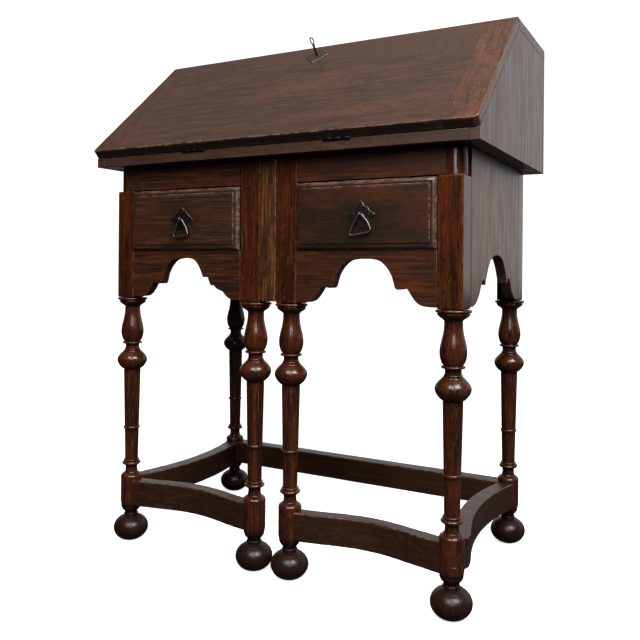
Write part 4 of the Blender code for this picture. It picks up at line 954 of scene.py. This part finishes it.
for word, side in SIDES:
    low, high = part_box(f"{word}_hinge_desk_leaf")
    middle = (low.x + high.x) / 2
    inner = (middle - MIDDLE_KNUCKLE / 2, middle + MIDDLE_KNUCKLE / 2)
    outer = ((low.x, inner[0] - GAP), (inner[1] + GAP, high.x))
    leaf_foot, leaf_face = hinge[2] - GAP - LEAF_THICK, hinge[2] - GAP
    leaf_low = np.array([low.x, hinge[1] + LEAF_START, leaf_foot])
    leaf_high = np.array([high.x, hinge[1] + HINGE_LEAF, leaf_face])
    tabs = [cuboid((start, hinge[1] + TAB_START, leaf_foot), (end, hinge[1] + TAB_END, leaf_face), "top", 115,
                   **TAB_EDGE) for start, end in outer]
    screws = [middle + u for u in (-SCREW_STEP, 0, SCREW_STEP)]
    leaf = cuboid(leaf_low, leaf_high, "top", 116 + side, **LEAF_EDGE)
    piece(f"{word}_hinge_desk_leaf", iron_black, leaf, *tabs,
          *[knuckle(*ends, seed) for ends, seed in zip(outer, (117, 118))],
          *[nail_shell((x, hinge[1] + SCREW_UP, leaf_face - SCREW_RISE), "top", SCREW_RADIUS, SCREW_RISE, 119)
            for x in screws])
    leaf_out = (GAP, GAP + LEAF_THICK)
    piece(f"{word}_hinge_lid_leaf", iron_black,
          lid_box((low.x, high.x), (LEAF_START, HINGE_LEAF), leaf_out, "lid_inside", 120 + side, **LEAF_EDGE),
          lid_box(inner, (TAB_START, TAB_END), leaf_out, "lid_inside", 121, **TAB_EDGE),
          knuckle(*inner, 122),
          *[nail_shell(on_lid(x, SCREW_UP, GAP + SCREW_RISE), "lid_inside", SCREW_RADIUS, SCREW_RISE, 123)
            for x in screws])
    groove = turned_shell((0, *hinge[1:]), "right", np.array([high.x + GAP, low.x - GAP]),
                          np.full(2, KNUCKLE + GROOVE_CLEAR), 124, even_round)
    recess = cuboid(leaf_low - (GAP, KNUCKLE, GAP), leaf_high + (GAP, GAP, CUT_PAST), "top", 125, **BARE)
    cut(front_strip, groove, recess)
    recess_up, recess_out = (RECESS_START, HINGE_LEAF + GAP), (-CUT_PAST, leaf_out[1] + GAP)
    recess = lid_box((low.x - GAP, high.x + GAP), recess_up, recess_out, "lid", 126, **BARE)
    cut(lid_board, groove, recess)

# Lock, escutcheon and key
# An iron box lock screwed inside the lid with a bolt that slides up into the top, a lozenge plate outside,
# and a long slender key with an oval bow, all of blackened iron.
KEYHOLE = lid_length - 0.042
KEY_RADIUS, KEY_REACH, KEY_END = 0.0021, 0.0405, -0.0088
HOLE_RADIUS, HOLE_ENDS = KEY_RADIUS + 0.0005, np.array([0.03, -0.01])
BOW_LENGTH, BOW_WIDTH, BOW_WIRE = 0.0158, 0.0092, 0.0012
BIT_HALF, BIT_LENGTH, BIT_OUT = 0.0011, 0.007, (KEY_END, -0.001)
FILED_EDGE, LOCK_FACE = 0.0005, -GAP - 0.011
# Radius and rise of the heads. Screws lie across and down from the lock's top, nails across
# and up from the key.
LOCK_SCREW, ESCUTCHEON_NAIL = (0.003, 0.0003), (0.0017, 0.0009)
LOCK_SCREW_PLACES = [(x, down) for x in (-0.021, 0.021) for down in (0.007, 0.047)]
ESCUTCHEON_NAIL_PLACES = ((-0.0150, 0), (0.0150, 0), (0, 0.0195))
ESCUTCHEON, ESCUTCHEON_WAVE = (0.025, 0.031), 0.06


def filed_copy(node):
    """Copy of a fitting's own solid, welded, with its edges filed round."""
    mesh = frame["nodes"][node].data.copy()
    shape = bmesh.new()
    shape.from_mesh(mesh)
    bmesh.ops.remove_doubles(shape, verts=shape.verts, dist=1e-6)
    bmesh.ops.dissolve_limit(shape, angle_limit=math.radians(1), verts=shape.verts, edges=shape.edges)
    shape.to_mesh(mesh)
    shape.free()
    mesh.shade_smooth()
    filed = dress(node, mesh, iron_black).modifiers.new("filed_edges", "BEVEL")
    filed.width = FILED_EDGE
    filed.segments = 2
    filed.harden_normals = True


def bored(plate, middle, radius):
    """Lozenge plate on the lid with a round hole: the rings of its edge section go on through a circle in the
    back and one in the front, and close on the first ring."""
    circle = oval(middle, lid_across * radius, lid_up * radius, PLATE_POINTS)
    points = np.concatenate([plate["points"], circle - lid_out * PLATE_THICK, circle])
    plain = np.zeros(2 * PLATE_POINTS)
    return dict(points=points, faces=ring_faces(len(points) // PLATE_POINTS, PLATE_POINTS, closed=True),
                grain=points, wear=np.concatenate([plate["wear"], plain]),
                grime=np.concatenate([plate["grime"], plain]))


filed_copy("lock_case")
filed_copy("lock_bolt")
screws = [nail_shell(on_lid(x, LOCK_TOP - down, LOCK_FACE), "lid_inside", *LOCK_SCREW, 130)
          for x, down in LOCK_SCREW_PLACES]
piece("lock_case", iron_black, *screws, name="lock_screws")
key_foot = on_lid(0, KEYHOLE, 0)
cut(lid_board, turned_shell(key_foot, "lid", HOLE_ENDS, np.full(2, HOLE_RADIUS), 131, even_round))
# Browner and duller than the rest, its scale worn thin
iron_worn = black_iron("wrought_iron_worn_brown", "5a504b", "8f857f", 0.52)
plate_face = LID_THICK + GAP + PLATE_THICK
plate_middle = on_lid(0, KEYHOLE, plate_face)
outline = lozenge(*ESCUTCHEON, ESCUTCHEON_WAVE)
plate = board(outline, PLATE_THICK, plate_middle, "lid", 132, **PLATE_EDGE)
piece("escutcheon", iron_worn, bored(plate, plate_middle, HOLE_RADIUS))
nails = [nail_shell(on_lid(x, KEYHOLE + up, plate_face), "lid", *ESCUTCHEON_NAIL, 135)
         for x, up in ESCUTCHEON_NAIL_PLACES]
piece("escutcheon", iron_worn, *nails, name="escutcheon_nails")
bow_middle = LID_THICK + KEY_REACH - BOW_LENGTH / 2
bow = oval(on_lid(0, KEYHOLE, bow_middle), lid_across * (BOW_WIDTH / 2 - BOW_WIRE),
           lid_out * (BOW_LENGTH / 2 - BOW_WIRE), 40)
shank_top = bow_middle - BOW_LENGTH / 2 + BOW_WIRE * 1.5
shank = np.concatenate([
    [(shank_top, 0.0014), (shank_top - 0.0004, KEY_RADIUS - 0.0002)],
    swell(shank_top - 0.002, shank_top - 0.005, KEY_RADIUS, KEY_RADIUS, 0.0009, fullness=0.6, steps=9),
    [(shank_top - 0.006, KEY_RADIUS), (KEY_END + 0.0008, KEY_RADIUS), (KEY_END, KEY_RADIUS - 0.0006)],
])
bit_up = (KEYHOLE - KEY_RADIUS - BIT_LENGTH, KEYHOLE)
bit = lid_box((-BIT_HALF, BIT_HALF), bit_up, BIT_OUT, "lid", 134, ease=0.0003, margin=0.0004, run=2)
piece("key", iron_pull, turned_shell(key_foot, "lid", shank[:, 0], shank[:, 1], 133, even_round),
      wire_shell(bow, lid_up, BOW_WIRE), bit)

# Studio
# A pale floor and a white surround, two soft lights high in front and two small low ones that glint on the
# turnings. The camera stands where the photograph's did.
CAMERA_PLACE = (0.6753, -1.2550, 0.5447)
CAMERA_YAW, CAMERA_ROLL = math.radians(28.41), math.radians(0.477)
PHOTO_SIDE, FOCAL_PIXELS, HORIZON_PIXEL = 640, 720.18, 263.5
lens = bpy.data.cameras.new("photo_camera")
lens.sensor_width = 36.0
lens.lens = FOCAL_PIXELS / PHOTO_SIDE * lens.sensor_width
lens.shift_y = (HORIZON_PIXEL - PHOTO_SIDE / 2) / PHOTO_SIDE
camera = bpy.data.objects.new("photo_camera", lens)
level = Matrix.Rotation(CAMERA_YAW, 4, "Z") @ Matrix.Rotation(math.pi / 2, 4, "X")
camera.matrix_world = Matrix.Translation(CAMERA_PLACE) @ level @ Matrix.Rotation(CAMERA_ROLL, 4, "Z")
bpy.context.scene.collection.objects.link(camera)
bpy.context.scene.camera = camera

FLOOR_SIDE = 24.0
WHITE = (1.0, 1.0, 1.0, 1.0)
floor_mesh = bpy.data.meshes.new("studio_floor")
floor_corners = np.pad(rectangle(FLOOR_SIDE, FLOOR_SIDE), ((0, 0), (0, 1)))
floor_mesh.from_pydata(floor_corners.tolist(), [], [(0, 1, 2, 3)])
floor_paint, tree, paint = new_finish("matt_white_floor_paint")
# The floor is white to look at, and dark to the light it would throw back up under the desk. Far from the
# bureau, where the softboxes fall away, it glows to meet the white backdrop.
seen = add_node(tree, "LightPath", {}, "Is Camera Ray")
coats = {0: seen, MIX_A: linear("1e1d1c"), MIX_B: linear("f8f8f7")}
far = add_node(tree, "VectorMath", {0: add_node(tree, "TexCoord", {}, "Object")}, "Value", operation="LENGTH")
rise = {"Value": far, "From Min": 0.3, "From Max": 2.2, "To Min": 0.7, "To Max": 1.0}
glow = {0: add_node(tree, "MapRange", rise), 1: seen}
feed(paint, {
    "Base Color": add_node(tree, "Mix", coats, MIX_COLOUR, data_type="RGBA"),
    "Emission Strength": add_node(tree, "Math", glow, operation="MULTIPLY"),
    "Emission Color": WHITE,
    "Roughness": 0.8,
})
floor_mesh.materials.append(floor_paint)
floor_plane = bpy.data.objects.new("studio_floor", floor_mesh)
bpy.context.scene.collection.objects.link(floor_plane)

surround = bpy.data.worlds.new("white_studio")
surround.use_nodes = True
bpy.context.scene.world = surround
sky = surround.node_tree
way = add_node(sky, "SeparateXYZ", {0: add_node(sky, "TexCoord", {}, "Generated")}).node.outputs
# The surround's strength by direction: a wall behind, dimmer high up, and a ceiling, dimmer on the left
band = {}
for word, axis, start, end, at_start, at_end in (
    ("wall", "Y", 0.0, 0.8, 0.0, 0.68),
    ("wall_top", "Z", 0.40, 0.85, 1.0, 0.2),
    ("ceiling", "Z", 0.4, 1.0, 0.030, 0.36),
    ("ceiling_left", "X", -0.75, -0.1, 0.35, 1.0),
):
    span = {"Value": way[axis], "From Min": start, "From Max": end, "To Min": at_start, "To Max": at_end}
    band[word] = add_node(sky, "MapRange", span, interpolation_type="SMOOTHSTEP")
ceiling = add_node(sky, "Math", {0: band["ceiling"], 1: band["ceiling_left"]}, operation="MULTIPLY")
light = {0: band["wall"], 1: band["wall_top"], 2: ceiling}
strength = add_node(sky, "Math", light, operation="MULTIPLY_ADD")
backdrop = sky.nodes["Background"]
feed(backdrop, {"Color": WHITE, "Strength": strength})
blank = add_node(sky, "Background", {"Color": WHITE, "Strength": 1.2})
seen = add_node(sky, "LightPath", {}, "Is Camera Ray")
both = add_node(sky, "MixShader", {0: seen, 1: backdrop.outputs[0], 2: blank})
feed(sky.nodes["World Output"], {"Surface": both})
bpy.context.scene.view_settings.view_transform = "Standard"

LIGHT_AIM, LIGHT_DISTANCE = np.array([0.0, 0.0, 0.55]), 2.6
# Degrees round from the front and above level, width, and power
for name, turn, lift, across, power in (
    ("left_softbox", 10, 41, 1.2, 62),
    ("right_softbox", 58, 42, 1.2, 100),
    ("low_left_window", 22, 19, 0.3, 6),
    ("low_right_window", 35, 19, 0.3, 6),
):
    turn, lift = math.radians(turn), math.radians(lift)
    away = np.array([math.sin(turn) * math.cos(lift), -math.cos(turn) * math.cos(lift), math.sin(lift)])
    lamp = bpy.data.lights.new(name, "AREA")
    lamp.size = across
    lamp.energy = power
    stand = bpy.data.objects.new(name, lamp)
    aim = Vector(away).to_track_quat("Z", "Y").to_matrix().to_4x4()
    stand.matrix_world = Matrix.Translation(LIGHT_AIM + away * LIGHT_DISTANCE) @ aim
    bpy.context.scene.collection.objects.link(stand)

bpy.context.view_layer.update()
